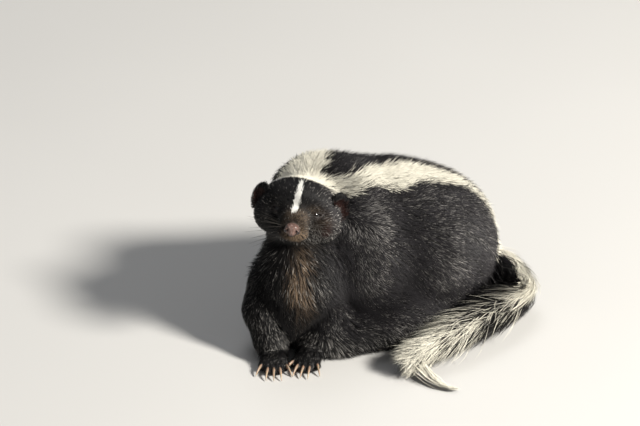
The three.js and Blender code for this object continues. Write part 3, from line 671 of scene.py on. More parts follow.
# Painted glints on the left shoulder, the left elbow, both sides of the chest and the right forearm.
GLINT_ON_BODY = [
    (0.2, [46, 38, 78], [26, 30, 40]),
    (0.14, [34, 28, 20], [20, 18, 26]),
    (0.75, [28, 14, 66], [9, 16, 14]),
    (0.4, [-28, 26, 66], [9, 16, 12]),
    (0.25, [-10, 16, 28], [9, 12, 20]),
]


def tan_and_sheen_share(p):
    """A painted brown highlight on the chest, and tan short fur round the nose and the chin, spread as
    painted light over the face's lit left side and round the left eye.
    """
    return np.clip(spots(to_head(p), FACE_TAN_AND_LIGHT) + spots(p, CHEST_SHEEN), 0, 1)


def mouth_corner_shade(p):
    """1 at the painted shade, dark brown, behind the left corner of the mouth under the cheek."""
    return blob(p, [26.4, 24, 114], [4, 9, 6.5])


def sunlit_share(p):
    """1 on the flanks, the hips and the back, where the key light falls; painted light there makes the black
    coat lighter and more glinting.
    """
    return smooth(p[:, 0], 14, 46) * smooth(p[:, 2], 12, 40)


def glint_share(p):
    """Where black hairs get light grey tips, painted glints of light: the lit flanks, the left brow and
    cheek, and the elbows.
    """
    q = to_head(p)
    # Painted glints on the crown, fewer on its right side, which lies in shade.
    crown = 0.025 * smooth(q[:, 2], 5, 14) * (0.3 + 0.7 * smooth(q[:, 0], -6, 8))
    # Painted light: more glints on the lit flanks, very few on the head.
    plain = blend(0.13 + 0.23 * sunlit_share(p), 0.02, on_head(p, -8, 12))
    # Painted shade: fewer glints on the chest under the head, where the head's shadow falls.
    dark = 0.75 * blob(p, [4, 20, 90], [24, 26, 16])
    all_glint = plain + crown + spots(q, GLINT_ON_CHEEK) + spots(p, GLINT_ON_BODY)
    # Almost no glints in the painted shade behind the left corner of the mouth.
    return np.clip(all_glint * (1 - dark) * (1 - 0.9 * mouth_corner_shade(p)), 0, 0.8)


# Meshes
EYE_BOX = [np.array(v) * 1000 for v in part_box("eye_left")]
SHIFT = (EYE_BOX[0] + EYE_BOX[1]) / 2 - from_head(EYE_AT)


def put_in_scene(name, data):
    thing = bpy.data.objects.new(name, data)
    bpy.context.scene.collection.objects.link(thing)
    return thing


def fill(block, key, values, kind=np.float32):
    block.foreach_set(key, np.asarray(values, kind).ravel())


def make_mesh(name, points, faces, material, slot, colours, uvs=None, normals=None):
    """A mesh object in metres, with a colour for each vertex and a map for each face corner."""
    faces = np.asarray(faces, np.int32)
    mesh = bpy.data.meshes.new(name)
    mesh.vertices.add(len(points))
    mesh.loops.add(faces.size)
    mesh.polygons.add(len(faces))
    fill(mesh.vertices, "co", (points + SHIFT) * 0.001)
    fill(mesh.loops, "vertex_index", faces, np.int32)
    fill(mesh.polygons, "loop_start", np.arange(0, faces.size, 3), np.int32)
    mesh.update(calc_edges=True)
    mesh.shade_smooth()
    if normals is not None:
        mesh.normals_split_custom_set_from_vertices(normals)
    layer = mesh.color_attributes.new("coat", "FLOAT_COLOR", "POINT")
    fill(layer.data, "color", np.concatenate([colours, np.ones((len(colours), 1))], 1))
    if uvs is not None:
        fill(mesh.uv_layers.new(name="OFBake").data, "uv", uvs[faces.ravel()])
    mesh.materials.append(material)
    piece = put_in_scene(name, mesh)
    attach(piece, "root")
    return piece


def make_joined(name, parts, material, slot):
    """One mesh from the points, faces and colours of several forms."""
    points, faces, colours = zip(*parts)
    starts = np.cumsum([0, *map(len, points)])
    faces = np.vstack([f + start for f, start in zip(faces, starts)])
    make_mesh(name, np.vstack(points), faces, material, slot, np.vstack(colours))


# Materials
LOOKS = {
    "black_hair": {"noise": (60, 2), "range": (0.8, 1.25), "Roughness": 0.5, "Specular IOR Level": 0.17},
    "white_hair": {"noise": (60, 2), "range": (0.96, 1.04), "Roughness": 0.6, "Specular IOR Level": 0.4},
    "skin": {"noise": (300, 4), "range": (0.8, 1.15), "Roughness": 0.62},
    "nose_skin": {
        "noise": (500, 3), "range": (0.75, 1.2),
        "Roughness": 0.34, "Coat Weight": 0.4, "Coat Roughness": 0.2,
    },
    "eye": {"Roughness": 0.12, "Coat Weight": 1.0, "Coat Roughness": 0.03},
    "claw": {
        "noise": (250, 3, (1, 1, 0.3)), "range": (0.8, 1.2),
        "Roughness": 0.38, "Subsurface Weight": 0.15, "Subsurface Scale": 0.002,
    },
    "floor": {"noise": (3, 2), "range": (0.985, 1.015), "Roughness": 0.8},
}
FLOOR_COLOUR = (0.64, 0.632, 0.615, 1)


def new_node(tree, kind, values, links):
    """A node with some inputs set to values and others linked to the outputs of other nodes."""
    node = tree.nodes.new("ShaderNode" + kind)
    for key, value in values.items():
        node.inputs[key].default_value = value
    for key, source in links.items():
        tree.links.new(source, node.inputs[key])
    return node


def noise(tree, scale, detail, stretch=(1, 1, 1)):
    place = new_node(tree, "TexCoord", {}, {}).outputs["Object"]
    fit = new_node(tree, "Mapping", {"Scale": stretch}, {"Vector": place}).outputs["Vector"]
    return new_node(tree, "TexNoise", {"Scale": scale, "Detail": detail}, {"Vector": fit}).outputs["Fac"]


def make_material(name):
    """A material with the mesh's own colours, made lighter and darker from place to place by a noise."""
    look = LOOKS[name].copy()
    grain, limits = look.pop("noise", None), look.pop("range", None)
    material = bpy.data.materials.new(name)
    material.use_nodes = True
    tree = material.node_tree
    shader = tree.nodes["Principled BSDF"]
    if name == "floor":
        source = tree.nodes.new("ShaderNodeRGB")
        source.outputs["Color"].default_value = FLOOR_COLOUR
    else:
        source = tree.nodes.new("ShaderNodeAttribute")
        source.attribute_name = "coat"
    colour = source.outputs["Color"]
    if grain:
        span = {"From Min": 0.3, "From Max": 0.7, "To Min": limits[0], "To Max": limits[1]}
        factor = new_node(tree, "MapRange", span, {"Value": noise(tree, *grain)}).outputs["Result"]
        scaled = new_node(tree, "VectorMath", {}, {0: colour})
        scaled.operation = "SCALE"
        tree.links.new(factor, scaled.inputs["Scale"])
        colour = scaled.outputs["Vector"]
    tree.links.new(colour, shader.inputs["Base Color"])
    for key, value in look.items():
        shader.inputs[key].default_value = value
    return material


def add_bumps(tree, height, distance, strength=1.0):
    bump = new_node(tree, "Bump", {"Strength": strength, "Distance": distance}, {"Height": height})
    tree.links.new(bump.outputs["Normal"], tree.nodes["Principled BSDF"].inputs["Normal"])


FUR = {"black_fur": make_material("black_hair"), "white_fur": make_material("white_hair")}


# Skin: its net is fine round the head, and coarse elsewhere.
def skin_colours(p):
    white = white_share(p)
    colour = mixed(BLACK * 1.3, CREAM * 0.92, white)
    # Tan fur, partly painted light, and the chest's painted brown sheen, on the skin too.
    colour = mixed(colour, TAN * 0.8, tan_and_sheen_share(p) * (1 - white))
    for side in BOTH:
        colour = mixed(colour, EAR_BROWN, in_ear(p, side))
        q = to_eye(p, side)
        off_lids = norm(q[:, :2] / [LID["half"], 2.2])
        rim = (1 - smooth(off_lids, 1.7, 2.4)) * (q[:, 2] > 0)
        colour = mixed(colour, LID_DARK, 0.9 * rim)
    return mixed(colour, LIP_DARK, np.exp(-((mouth_near(p) / 1.6) ** 2)))


def make_skin():
    steps = ((2.6, 0.8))
    spans = (-50, 206, -34, 44), (-24, 184, -10, 56), (-4, 160, 104, 152)
    points, faces = net(skin_field, *[uneven(*span, *steps) for span in spans])
    points = drawn_onto(skin_field, points, 0.5)
    points[:, 2] = np.maximum(points[:, 2], SKIN_FLOOR)
    material = make_material("skin")
    add_bumps(material.node_tree, noise(material.node_tree, 1600, 4), 0.0004)
    skin = make_mesh("skin", points, faces, material, "black_fur", skin_colours(points))
    return skin, points, faces


# Nose pad
def nose_field(p):
    q = to_head(p) - NOSE_AT
    pad = melt(lump([0, 0.2, 1.5], [5.3, 4.5, 3.5])(q), lump([0, -0.4, -2.4], [2.9, 4.0, 3.0])(q), 2.5)
    for side in BOTH:
        wing = lump([side * 4.1, 0.6, -0.8], [2.2, 3.9, 2.6])(q)
        pad = melt(pad, wing, 1.0)
        hole = limb([side * 3.9, -4.9, -0.9], [side * 3.4, -2.2, -0.5], 1.15, 0.8)(q)
        slit = limb([side * 4.4, -4.2, -1.3], [side * 6.9, -1.4, -2.7], 0.95, 0.6)(q)
        pad = -melt(-pad, melt(hole, slit, 0.7), 0.6)
    groove = limb([0, -5.2, 0.2], [0, -4.2, -5], 0.3, 0.5)(q)
    return -melt(-pad, groove, 0.9)


def make_nose():
    spans = [np.arange(c - 10, c + 10, 0.42) for c in from_head(NOSE_AT)]
    points, faces = net(nose_field, *spans)
    points = drawn_onto(nose_field, points, 0.3)
    q = to_head(points) - NOSE_AT
    mottle = 0.5 + 0.5 * np.sin(q[:, 0] * 2.1 + 1.3 * np.sin(q[:, 2] * 1.7)) * np.sin(q[:, 2] * 1.9 + 0.6)
    # Painted shade: the pad darker towards its sides and underneath.
    rim = np.maximum(smooth(np.abs(q[:, 0]), 3.6, 6.2), smooth(-q[:, 2], 2.2, 4.6))
    holes = [limb([side * 3.9, -4, -1], [side * 6.2, -2.2, -2.3], 1.15, 0.8)(q) for side in BOTH]
    colour = mixed(mixed(NOSE_PINK, NOSE_BROWN, mottle), NOSE_EDGE_SHADE, 0.8 * rim)
    # Painted shade: nearly black in and round the nostrils.
    colour = mixed(colour, NOSTRIL_SHADE, 1 - smooth(np.min(holes, 0), 0, 0.5))
    material = make_material("nose_skin")
    cells = new_node(material.node_tree, "TexVoronoi", {"Scale": 1500}, {})
    add_bumps(material.node_tree, cells.outputs["Distance"], 0.0003, 0.7)
    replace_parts(make_mesh("nose_pad", points, faces, material, "nose_skin", colour), "nose")


def ring_faces(rows, around, whole=False):
    """Triangles between each ring of points and the next, and from the last to the first if whole."""
    faces = []
    for r, s in product(range(rows if whole else rows - 1), range(around)):
        a, b = r * around + s, r * around + (s + 1) % around
        c, d = (b + around) % (rows * around), (a + around) % (rows * around)
        faces += [(a, b, c), (a, c, d)]
    return faces


def round_form(rows, around):
    """Triangles of a closed turned form: rows of rings, and an end point before and after them."""
    faces = ring_faces(rows, around)
    first, last, end = rows * around, rows * around + 1, (rows - 1) * around
    for s in range(around):
        t = (s + 1) % around
        faces += [(first, t, s), (last, end + s, end + t)]
    return np.array(faces)


# Eyes
def make_eyes(lid_material):
    material = make_material("eye")
    rows, around = 30, 48
    polar = np.linspace(0, math.pi, rows + 2)[1:-1, None]
    turn = turns(around)
    rings = np.broadcast_arrays(np.sin(polar) * np.cos(turn), np.sin(polar) * np.sin(turn), np.cos(polar))
    ball = EYE_RADIUS * np.vstack([np.stack(rings, -1).reshape(-1, 3), [[0, 0, 1], [0, 0, -1]]])
    across = norm(ball[:, :2])
    colour = mixed(mixed(PUPIL, IRIS, smooth(across, 1.5, 2.0)), LIP_DARK, smooth(across, 2.9, 3.4))
    for side, name in ((1, "left"), (-1, "right")):
        place = from_eye(ball, side)
        eye = make_mesh("eyeball_" + name, place, round_form(rows, around), material, "eye", colour)
        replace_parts(eye, "eye_" + name)
        make_lids(side, name, lid_material)


def make_lids(side, name, material):
    """A thin dark rim along both lids."""
    count, around, thick = 40, 10, 0.42
    turn = turns(count)
    x = LID["half"] * np.cos(turn)
    upper, lower = lid_edges(x)
    x, y = x * 1.02, np.where(np.sin(turn) >= 0, upper, lower)
    z = np.sqrt(np.maximum((EYE_RADIUS + 0.35) ** 2 - x**2 - y**2, 0.5))
    middle = np.stack([x, y, z], 1)
    out = unit(middle)
    side_way = np.cross(unit(np.roll(middle, -1, 0) - np.roll(middle, 1, 0)), out)
    ring = turns(around)[None, :, None]
    points = middle[:, None] + thick * (np.cos(ring) * out[:, None] + np.sin(ring) * side_way[:, None])
    colours = np.tile([0.016, 0.010, 0.009], (count * around, 1))
    place = from_eye(points.reshape(-1, 3), side)
    make_mesh("lids_" + name, place, ring_faces(count, around, True), material, "black_fur", colours)


# Tapered tubes, for claws and whiskers
def tube(line, radius, flatten, around):
    """Points and faces of a closed tube along a line, with a radius at each point but the tip."""
    ahead = directions(line)
    side = unit(np.cross(ahead, [0.03, 0.02, 1]))
    up = np.cross(side, ahead)
    turn = turns(around)[None, :, None]
    ring = flatten * np.cos(turn) * side[:-1, None] + np.sin(turn) * up[:-1, None]
    rings = line[:-1, None] + radius[:-1, None, None] * ring
    points = np.vstack([rings.reshape(-1, 3), line[0], line[-1]])
    return points, round_form(len(line) - 1, around)


def make_claws():
    parts = []
    sunk, around = 2.5, 10
    t = np.linspace(0, 1, 12)
    share = np.append(np.repeat(t[:-1], around), [0, 1])
    for leg in LEGS.values():
        length = (CLAW_FRONT if leg["front"] else CLAW_HIND) + sunk
        for i in range(5):
            start, tip = toe_line(i, leg["front"])
            heading = unit((tip - start) * [1, 1, 0])
            line = tip - sunk * heading + [0, 0, 0.5] + heading * length * t[:, None]
            line[:, 2] += 1.7 * np.sin(math.pi * t**0.8) - 3.0 * t**2.2
            line[:, 2] = np.maximum(line[:, 2], 0.35)
            form = tube(foot_to_world(leg, line), 1.75 * (1 - t) ** 0.55, 0.78, around)
            parts.append((*form, mixed(CLAW_ROOT, CLAW_TIP, share)))
    make_joined("claws", parts, make_material("claw"), "claw")


def make_whiskers():
    draw = np.random.default_rng(3)
    parts = []
    s = np.linspace(0, 1, 14)
    for side, row, k in product(BOTH, range(4), range(4)):
        root = from_head([side * (5.5 + 1.3 * k), -29 + 3.4 * k, -8.5 - 2.2 * row + 0.6 * k])
        root = settle(hide, root[None])[0]
        back = -0.35 + 0.33 * k + 0.1 * draw.random()
        way = unit(np.array([side * (1 - 0.05 * row), back, 0.2 - 0.24 * row])) @ HEAD_TURN.T
        length = 16 + 4.5 * k + 5 * draw.random()
        bend = np.array([side * 0.1, 0.5, -0.35]) * length * 0.55
        line = root + way * length * s[:, None] + bend * (s**2)[:, None]
        points, faces = tube(line, 0.17 * (1 - s) ** 0.6, 1, 5)
        parts.append((points, faces, np.tile(WHISKER, (len(points), 1))))
    make_joined("whiskers", parts, FUR["black_fur"], "black_fur")


# Coat
def lie_on_body(p, out):
    """The way the coat lies: rearwards along the spine, and down on the flanks and the chest."""
    way = directions(SPINE)
    far = norm(p[:, None] - SPINE[None])
    weight = np.exp(-(far**2 - far.min(1, keepdims=True) ** 2) / 600)
    along = unit(weight @ way)
    place = (weight * np.arange(len(SPINE))).sum(1) / weight.sum(1)
    along[:, 2] -= 0.75 * (1 - np.abs(out[:, 2]))
    return along + np.array([0.1, 0, -0.8]) * (1 - smooth(place, 2, 6))[:, None]


def lie_on_head(p):
    """Away from the nose over the face, and back over the crown."""
    q = to_head(p)
    away = unit(q - (NOSE_AT + [0, -3, 1])) + [0, 0.5, 0]
    return unit(away) @ HEAD_TURN.T


def leg_line(leg):
    return np.vstack([leg["joints"], foot_to_world(leg, [[14, 0, 3]])])


def lie_on_leg(p, leg):
    line = leg_line(leg)
    way = unit(np.diff(line, axis=0))
    return way[np.minimum(to_line(p, line)[1].astype(int), len(way) - 1)]


def lie(p, out):
    """The direction of the hair along the skin, melted between the head, body and legs."""
    way = mixed(lie_on_body(p, out), lie_on_head(p), on_head(p, -12, 12))
    near_body = body(p) + coat_depth(p)
    for leg, *near in zip(LEGS.values(), *limb_heights(p)):
        way = mixed(way, lie_on_leg(p, leg), smooth(near_body - np.minimum(*near), -3, 5))
    return unit(way - out * (way * out).sum(1, keepdims=True))


def scatter(points, faces, density, draw):
    """Random places over a mesh, even in number for their area and the density at its vertices."""
    corners = points[faces]
    area = norm(np.cross(corners[:, 1] - corners[:, 0], corners[:, 2] - corners[:, 0])) / 2
    total = np.cumsum(area * density[faces].mean(1) * DENSITY)
    count = int(total[-1])
    pick = np.searchsorted(total, (np.arange(count) + draw.random(count)) / count * total[-1])
    a, b = draw.random((2, count))
    turn = a + b > 1
    a[turn], b[turn] = 1 - a[turn], 1 - b[turn]
    c = corners[np.minimum(pick, len(faces) - 1)]
    return c[:, 0] + (c[:, 1] - c[:, 0]) * a[:, None] + (c[:, 2] - c[:, 0]) * b[:, None]


PATCH = 0.003
FLATNESS = 0.3
ROUNDNESS = 0.75
TAPERS = {1: [0.8], 2: [0.75, 1], 3: [0.75, 1, 0.7], 4: [0.7, 1, 0.85, 0.5], 5: [0.6, 0.9, 1, 0.8, 0.5]}


def make_hair(name, lines, side, wide, colours, unwrapped, white=False):
    """A mesh of thin closed spikes of three sides, one along each line, with a small map for each.

    The normals lean towards the skin's, so that the light falls over the coat as over one soft form.
    """
    count, rings = lines.shape[0], lines.shape[1] - 1
    ahead = unit(np.gradient(lines, axis=1))
    across = unit(side[:, None] - ahead * (side[:, None] * ahead).sum(2, keepdims=True))
    up = np.cross(ahead, across)
    width = (wide[:, None] * TAPERS[rings])[:, :, None, None] * WIDENING
    corners = np.array([[1, 0], [0, 1.6 * FLATNESS], [-1, 0]])
    across_ring, up_ring = across[:, :-1, None], up[:, :-1, None]
    ring_points = lines[:, :-1, None] + width * (corners[:, :1] * across_ring + corners[:, 1:] * up_ring)
    ring_normals = unit(up_ring + ROUNDNESS * corners[:, :1] * across_ring)
    each = rings * 3 + 1
    points = np.concatenate([ring_points.reshape(count, rings * 3, 3), lines[:, -1:]], 1)
    normals = np.concatenate([ring_normals.reshape(count, rings * 3, 3), up[:, -1:]], 1)
    end = each - 4
    faces = [(0, 2, 1), *ring_faces(rings, 3), *[(end + s, end + (s + 1) % 3, each - 1) for s in range(3)]]
    faces = (np.array(faces)[None] + np.arange(count)[:, None, None] * each).reshape(-1, 3)
    share = np.append(np.repeat(np.linspace(0, 1, rings + 1)[:-1], 3), 1)
    root, tip = colours
    paint = blend(root[:, None], tip[:, None], smooth(share, 0.15, 0.95)[None, :, None])
    local = np.stack([np.append(np.tile([0, 0.5, 1], rings), 0.5), share], 1) * PATCH
    uvs = (unwrapped[:, None] + local[None]).reshape(-1, 2)
    slot = "white_fur" if white else "black_fur"
    shape = points.reshape(-1, 3), faces, FUR[slot], slot
    make_mesh(name, *shape, paint.reshape(-1, 3), uvs, normals.reshape(-1, 3))


def around_line(p, line):
    """A point's place on an unwrap of the skin round a line: the turn about it and the share along it."""
    share = to_line(p, line)[1] / (len(line) - 1)
    at, ahead = on_line(line, share)
    out = p - at
    side = unit(np.cross(ahead, [0, 0, 1]))
    up = np.cross(side, ahead)
    turn = np.arctan2((out * side).sum(1), (out * up).sum(1)) / (2 * math.pi) + 0.5
    past = (out * ahead).sum(1) / 120
    return 0.01 + 0.97 * np.stack([turn, np.clip(0.15 + 0.7 * share + past, 0, 1)], 1)


HEAD_LINE = np.linspace(from_head([0, -30, -5]), from_head([0, 40, 0]), 12)


def limb_shares(p):
    """How far each place belongs to a leg, and to its foot, from 0 to 1, and its height on the body."""
    near_body = body(p) + coat_depth(p)
    near_leg, near_foot = [heights.min(0) for heights in limb_heights(p)]
    on_leg = smooth(near_body - np.minimum(near_leg, near_foot), -4, 6)
    return on_leg, smooth(near_leg - near_foot, -2, 4) * on_leg, near_body


LONG_COAT = [(1, [4, 20, 62], [26, 22, 34]), (0.8, [36, 26, 18], [22, 22, 20])]


def hair_shape(p):
    """Length, width and rise of the hair at a root, in millimetres, longest on the chest and elbows."""
    q = to_head(p)
    share = on_head(p)
    near_eye = np.min([norm(q - EYE_AT * [s, 1, 1]) for s in BOTH], 0)
    face = np.clip(1.7 + 0.15 * (norm(q - NOSE_AT) - 7), 1.7, 10)
    face = np.minimum(face, 1.5 + 0.5 * np.maximum(near_eye - EYE_RADIUS - 0.5, 0))
    face = face * (1 - 0.3 * smooth(-past_band(p, BLAZE), -2.5, 0) * share)
    long = np.clip(spots(p, LONG_COAT), 0, 1)
    length = blend(HAIR_LENGTH["body"] + 7 * long, face, share)
    wide = blend(HAIR_WIDTH["body"] + 0.03 * long, np.clip(0.13 + 0.016 * face, 0.14, 0.27), share)
    wide = wide * (1 + 0.3 * white_share(p))
    depth = coat_depth(p) * (1 - 0.5 * blob(p, [-14, 72, 134], [16, 22, 18]))
    on_leg, on_foot, _ = limb_shares(p)
    length = blend(blend(length, HAIR_LENGTH["leg"], on_leg), HAIR_LENGTH["foot"], on_foot)
    wide = blend(blend(wide, HAIR_WIDTH["leg"], on_leg), HAIR_WIDTH["foot"], on_foot)
    return length, wide, blend(blend(depth, COAT_DEPTH["leg"], on_leg), 0.7, on_foot)


def hair_density(p):
    """Tufts on each square millimetre of skin."""
    face = np.clip(3.4 - 0.04 * (norm(to_head(p) - NOSE_AT) - 8), 1.7, 3.4)
    dense = blend(HAIR_DENSITY["body"], face, on_head(p)) * (1 + 0.8 * white_share(p))
    on_leg, on_foot, near_body = limb_shares(p)
    dense = blend(blend(dense, HAIR_DENSITY["leg"], on_leg), HAIR_DENSITY["foot"], on_foot)
    on_tail = smooth(near_body - tail(p) - COAT_DEPTH["tail"], -2, 3)
    seen = 1 - 0.6 * smooth(-p[:, 2], -14, -4)
    return dense * (1 - on_tail) * seen * (p[:, 2] > 1.5)


def drift(p):
    """A slow turning of the hair's lie from place to place, in radians."""
    wave = np.sin(p @ [0.16, 0.05, 0.11] + 1.0) + np.sin(p @ [-0.07, 0.21, 0.13] + 2.3)
    return 0.17 * wave + 0.14 * np.sin(p @ [0.31, -0.24, 0.35])


def bald(p, out):
    """True on the eyes, lids, lips, nose pad, soles and the belly's floor side."""
    q = to_head(p)
    none = (p[:, 2] < 5) & (out[:, 2] < -0.45)
    none |= norm((q - NOSE_AT) / [6.3, 5.4, 5.1]) < 1
    none |= mouth_near(p) < 1.2
    for side in BOTH:
        e = to_eye(p, side)
        upper, lower = lid_edges(e[:, 0])
        slot = (e[:, 1] < upper + 0.6) & (e[:, 1] > lower - 0.6) & (np.abs(e[:, 0]) < LID["half"] + 0.5)
        none |= slot & (e[:, 2] > 0) & (norm(e) < 9)
    return none


def combed(roots, way, out, length, depth, steps, draw, lift):
    """Lines of hair: each leaves its root and bends down along the skin, up to the coat's depth."""
    count = len(roots)
    lines = np.empty((count, steps + 1, 3))
    lines[:, 0] = roots - out * 0.8
    sway = draw.normal(0, 0.22, count) + drift(roots) * smooth(length, 5, 12)
    side = np.cross(out, way)
    way = unit(way + side * sway[:, None])
    height = np.maximum(depth + draw.normal(lift, 0.16, count) * depth, 0.25)
    for i in range(1, steps + 1):
        q = lines[:, i - 1] + way * (length / steps)[:, None]
        g = slope(hide, q)
        off = (evaluate(hide, q) - height * (i / steps) ** 0.75) / np.maximum((g * g).sum(1), 0.2)
        q = q - g * np.clip(off, -6, 6)[:, None]
        q[:, 2] = np.maximum(q[:, 2], 0.5)
        lines[:, i] = q
        normal = unit(g)
        way = unit(way - normal * (way * normal).sum(1, keepdims=True))
    return lines, side


def hair_colours(p, white, glinting, draw):
    """Colours at the root and the tip of each hair; glinting hairs among the black get light grey tips,
    painted glints of light.
    """
    count = len(p)
    on_face = smooth(-behind_face(p), -4, 8)
    pale = mixed(CREAM, BLAZE_WHITE, on_face) * draw.uniform(0.95, 1.05, (count, 1))
    # Painted light: the black made about four times lighter on the lit flanks, hips and back.
    black = BLACK * draw.uniform(0.6, 1.4, (count, 1)) * (0.9 + 2.9 * sunlit_share(p)[:, None])
    tan = TAN * draw.uniform(0.5, 1.3, (count, 1))
    # Tan fur, partly painted light on the face's lit side, and the chest's painted brown sheen.
    black = mixed(black, tan, tan_and_sheen_share(p) * (draw.random(count) < 0.75))
    # Painted shade: dark brown behind the left corner of the mouth.
    black = mixed(black, EAR_BROWN * 1.4, mouth_corner_shade(p))
    # Painted glints: bright light grey tips on glinting hairs, faint ones on the rest.
    shine = np.where(glinting, 0.18 + 0.82 * draw.random(count) ** 1.3, 0.02 * draw.random(count))
    white = white[:, None]
    return np.where(white, pale * 0.9, black), np.where(white, pale, black + GLINT * shine[:, None])


def ear_share(p):
    """How far a place on the skin belongs to an ear, and which side's it is."""
    ears = np.array([EAR_FIELDS[side](p) for side in BOTH])
    return smooth(hide(p) - ears.min(0), 0.2, 1.0), np.array(BOTH)[ears.argmin(0)]


def make_ear_hair(points, faces):
    """Short hair over the backs and rims of the ears, thin inside them, that points to the rim."""
    draw = np.random.default_rng(11)
    roots = scatter(points, faces, HAIR_DENSITY["ear"] * ear_share(points)[0], draw)
    on_left = ear_share(roots)[1] > 0
    q = to_head(roots) - np.where(on_left[:, None], EAR_AT[1], EAR_AT[-1])
    out = np.empty_like(roots)
    for side in BOTH:
        mine = on_left == (side > 0)
        out[mine] = unit(slope(EAR_FIELDS[side], roots[mine]))
    way = unit(q + [0, 0, 4]) @ HEAD_TURN.T
    way = unit(way - out * (way * out).sum(1, keepdims=True) * 0.75)
    inside = np.where(on_left, in_ear(roots, 1), in_ear(roots, -1)) > 0.4
    keep = draw.random(len(roots)) < np.where(inside, 0.6, 1)
    roots, out, way, inside = [a[keep] for a in (roots, out, way, inside)]
    count = len(roots)
    length = draw.uniform(3.4, 5.2, count) * np.where(inside, 0.7, 1)
    s = np.arange(3)[:, None]
    rise = 0.9 * np.sin(math.pi * s / 3) - 0.2
    lines = roots[:, None] + way[:, None] * (length[:, None, None] * s / 2) + out[:, None] * rise
    shade = draw.random((count, 1))
    root = np.where(inside[:, None], EAR_BROWN * (0.7 + 0.9 * shade), BLACK * (0.5 + 0.7 * shade))
    # Painted glints: faint light grey tips on a tenth of the ear hairs.
    colours = root, root + GLINT * 0.12 * (shade > 0.9)
    wide = draw.uniform(0.17, 0.23, count)
    make_hair("coat_ears", lines, unit(np.cross(out, way)), wide, colours, around_line(roots, HEAD_LINE))


def leg_unwrap(p):
    """A place on an unwrap of the legs, each in its own quarter."""
    own = whole_limbs(p).argmin(0)
    uv = np.zeros((len(p), 2))
    for i, leg in enumerate(LEGS.values()):
        mine = own == i
        line = smooth_line(leg_line(leg), 12)
        uv[mine] = around_line(p[mine], line) * 0.48 + [0.5 * (i % 2), 0.5 * (i // 2)]
    return uv


def skin_roots(points, faces, density, draw):
    """Places for the hair, clear of bald skin and the ears, with the skin's direction out."""
    roots = scatter(points, faces, density, draw)
    out = unit(slope(hide, roots))
    keep = ~bald(roots, out) & (ear_share(roots)[0] < 0.5)
    return roots[keep], out[keep]


def lengths_of_body(share, mask, count):
    """The chosen hair in parts of like number, one behind the other."""
    cuts = np.quantile(share[mask], np.linspace(0, 1, count + 1))
    cuts[-1] += 1
    return [mask & (share >= cuts[i]) & (share < cuts[i + 1]) for i in range(count)]


def grow(regions, hair, wide, colours, draw, lift):
    """A mesh of hair for each region: its name, its part of the hair, the steps of its lines and its map."""
    for name, mask, steps, uv in regions:
        lines, side = combed(*[a[mask] for a in hair], steps, draw, lift)
        if steps == 1:
            lines = np.stack([lines[:, 0], blend(lines[:, 0], lines[:, 1], 0.7), lines[:, 1]], 1)
        paint = [c[mask] for c in colours]
        make_hair(name, lines, side, wide[mask], paint, uv[mask], name == "coat_white")


def make_coat(points, faces):
    draw = np.random.default_rng(21)
    roots, out = skin_roots(points, faces, hair_density(points), draw)
    way = lie(roots, out)
    length, wide, depth = hair_shape(roots)
    count = len(roots)
    length = length * draw.uniform(0.75, 1.25, count)
    wide = wide * draw.uniform(0.7, 1.3, count)
    shown = roots + way * (length * 0.6)[:, None] + out * depth[:, None]
    white = draw.random(count) < white_share(shown)
    colours = hair_colours(shown, white, np.zeros(count, bool), draw)
    on_face = behind_face(roots) < 4
    on_leg = (whole_limbs(roots).min(0) < body(roots)) & ~on_face
    rest = ~on_face & ~on_leg
    left = to_head(roots)[:, 0] > 0
    head_turn, trunk_turn = around_line(roots, HEAD_LINE), around_line(roots, SPINE)
    black = lengths_of_body(trunk_turn[:, 1], rest & ~white, 6)
    regions = [
        ("coat_head_left", on_face & left, 2, head_turn),
        ("coat_head_right", on_face & ~left, 2, head_turn),
        ("coat_legs", on_leg, 2, leg_unwrap(roots)),
        *[(f"coat_black_{i + 1}", part, 2, trunk_turn) for i, part in enumerate(black)],
        ("coat_white", rest & white, 3, trunk_turn),
    ]
    grow(regions, (roots, way, out, length, depth), wide, colours, draw, 0.1)


def make_glint_hair(points, faces):
    """Straight single hairs with light grey tips, painted glints, which stand a little proud of the black
    coat.
    """
    draw = np.random.default_rng(31)
    dense = (2.2 + 1.1 * on_head(points)) * glint_share(points) * (points[:, 2] > 4)
    roots, out = skin_roots(points, faces, dense, draw)
    off_tail = evaluate(tail, roots) > 0
    roots, out = roots[off_tail], out[off_tail]
    way = lie(roots, out)
    length, wide, depth = hair_shape(roots)
    length = length * draw.uniform(0.45, 0.8, len(roots))
    shown = roots + way * (length * 0.8)[:, None] + out * depth[:, None]
    keep = draw.random(len(roots)) > 2 * white_share(shown)
    *hair, wide, shown = [a[keep] for a in (roots, way, out, length, depth, wide, shown)]
    wide = (0.55 * wide + 0.07) * draw.uniform(0.7, 1.3, len(wide))
    every = np.ones(len(wide), bool)
    colours = hair_colours(shown, ~every, every, draw)
    place = around_line(hair[0], SPINE)
    parts = zip(("front", "middle", "back"), lengths_of_body(place[:, 1], every, 3))
    grow([("glint_hair_" + name, part, 1, place) for name, part in parts], hair, wide, colours, draw, 0.3)


# Tail: long hair that leaves the core, bends outwards and ends on the brush's outline
def beside_tail(t, angle, far):
    p, along = on_line(TAIL_LINE, t)
    side = unit(np.cross(along, [0, 0, 1]))
    up = np.cross(side, along)
    return p + side * (np.sin(angle) * far * 1.12)[:, None] + up * (np.cos(angle) * far)[:, None]


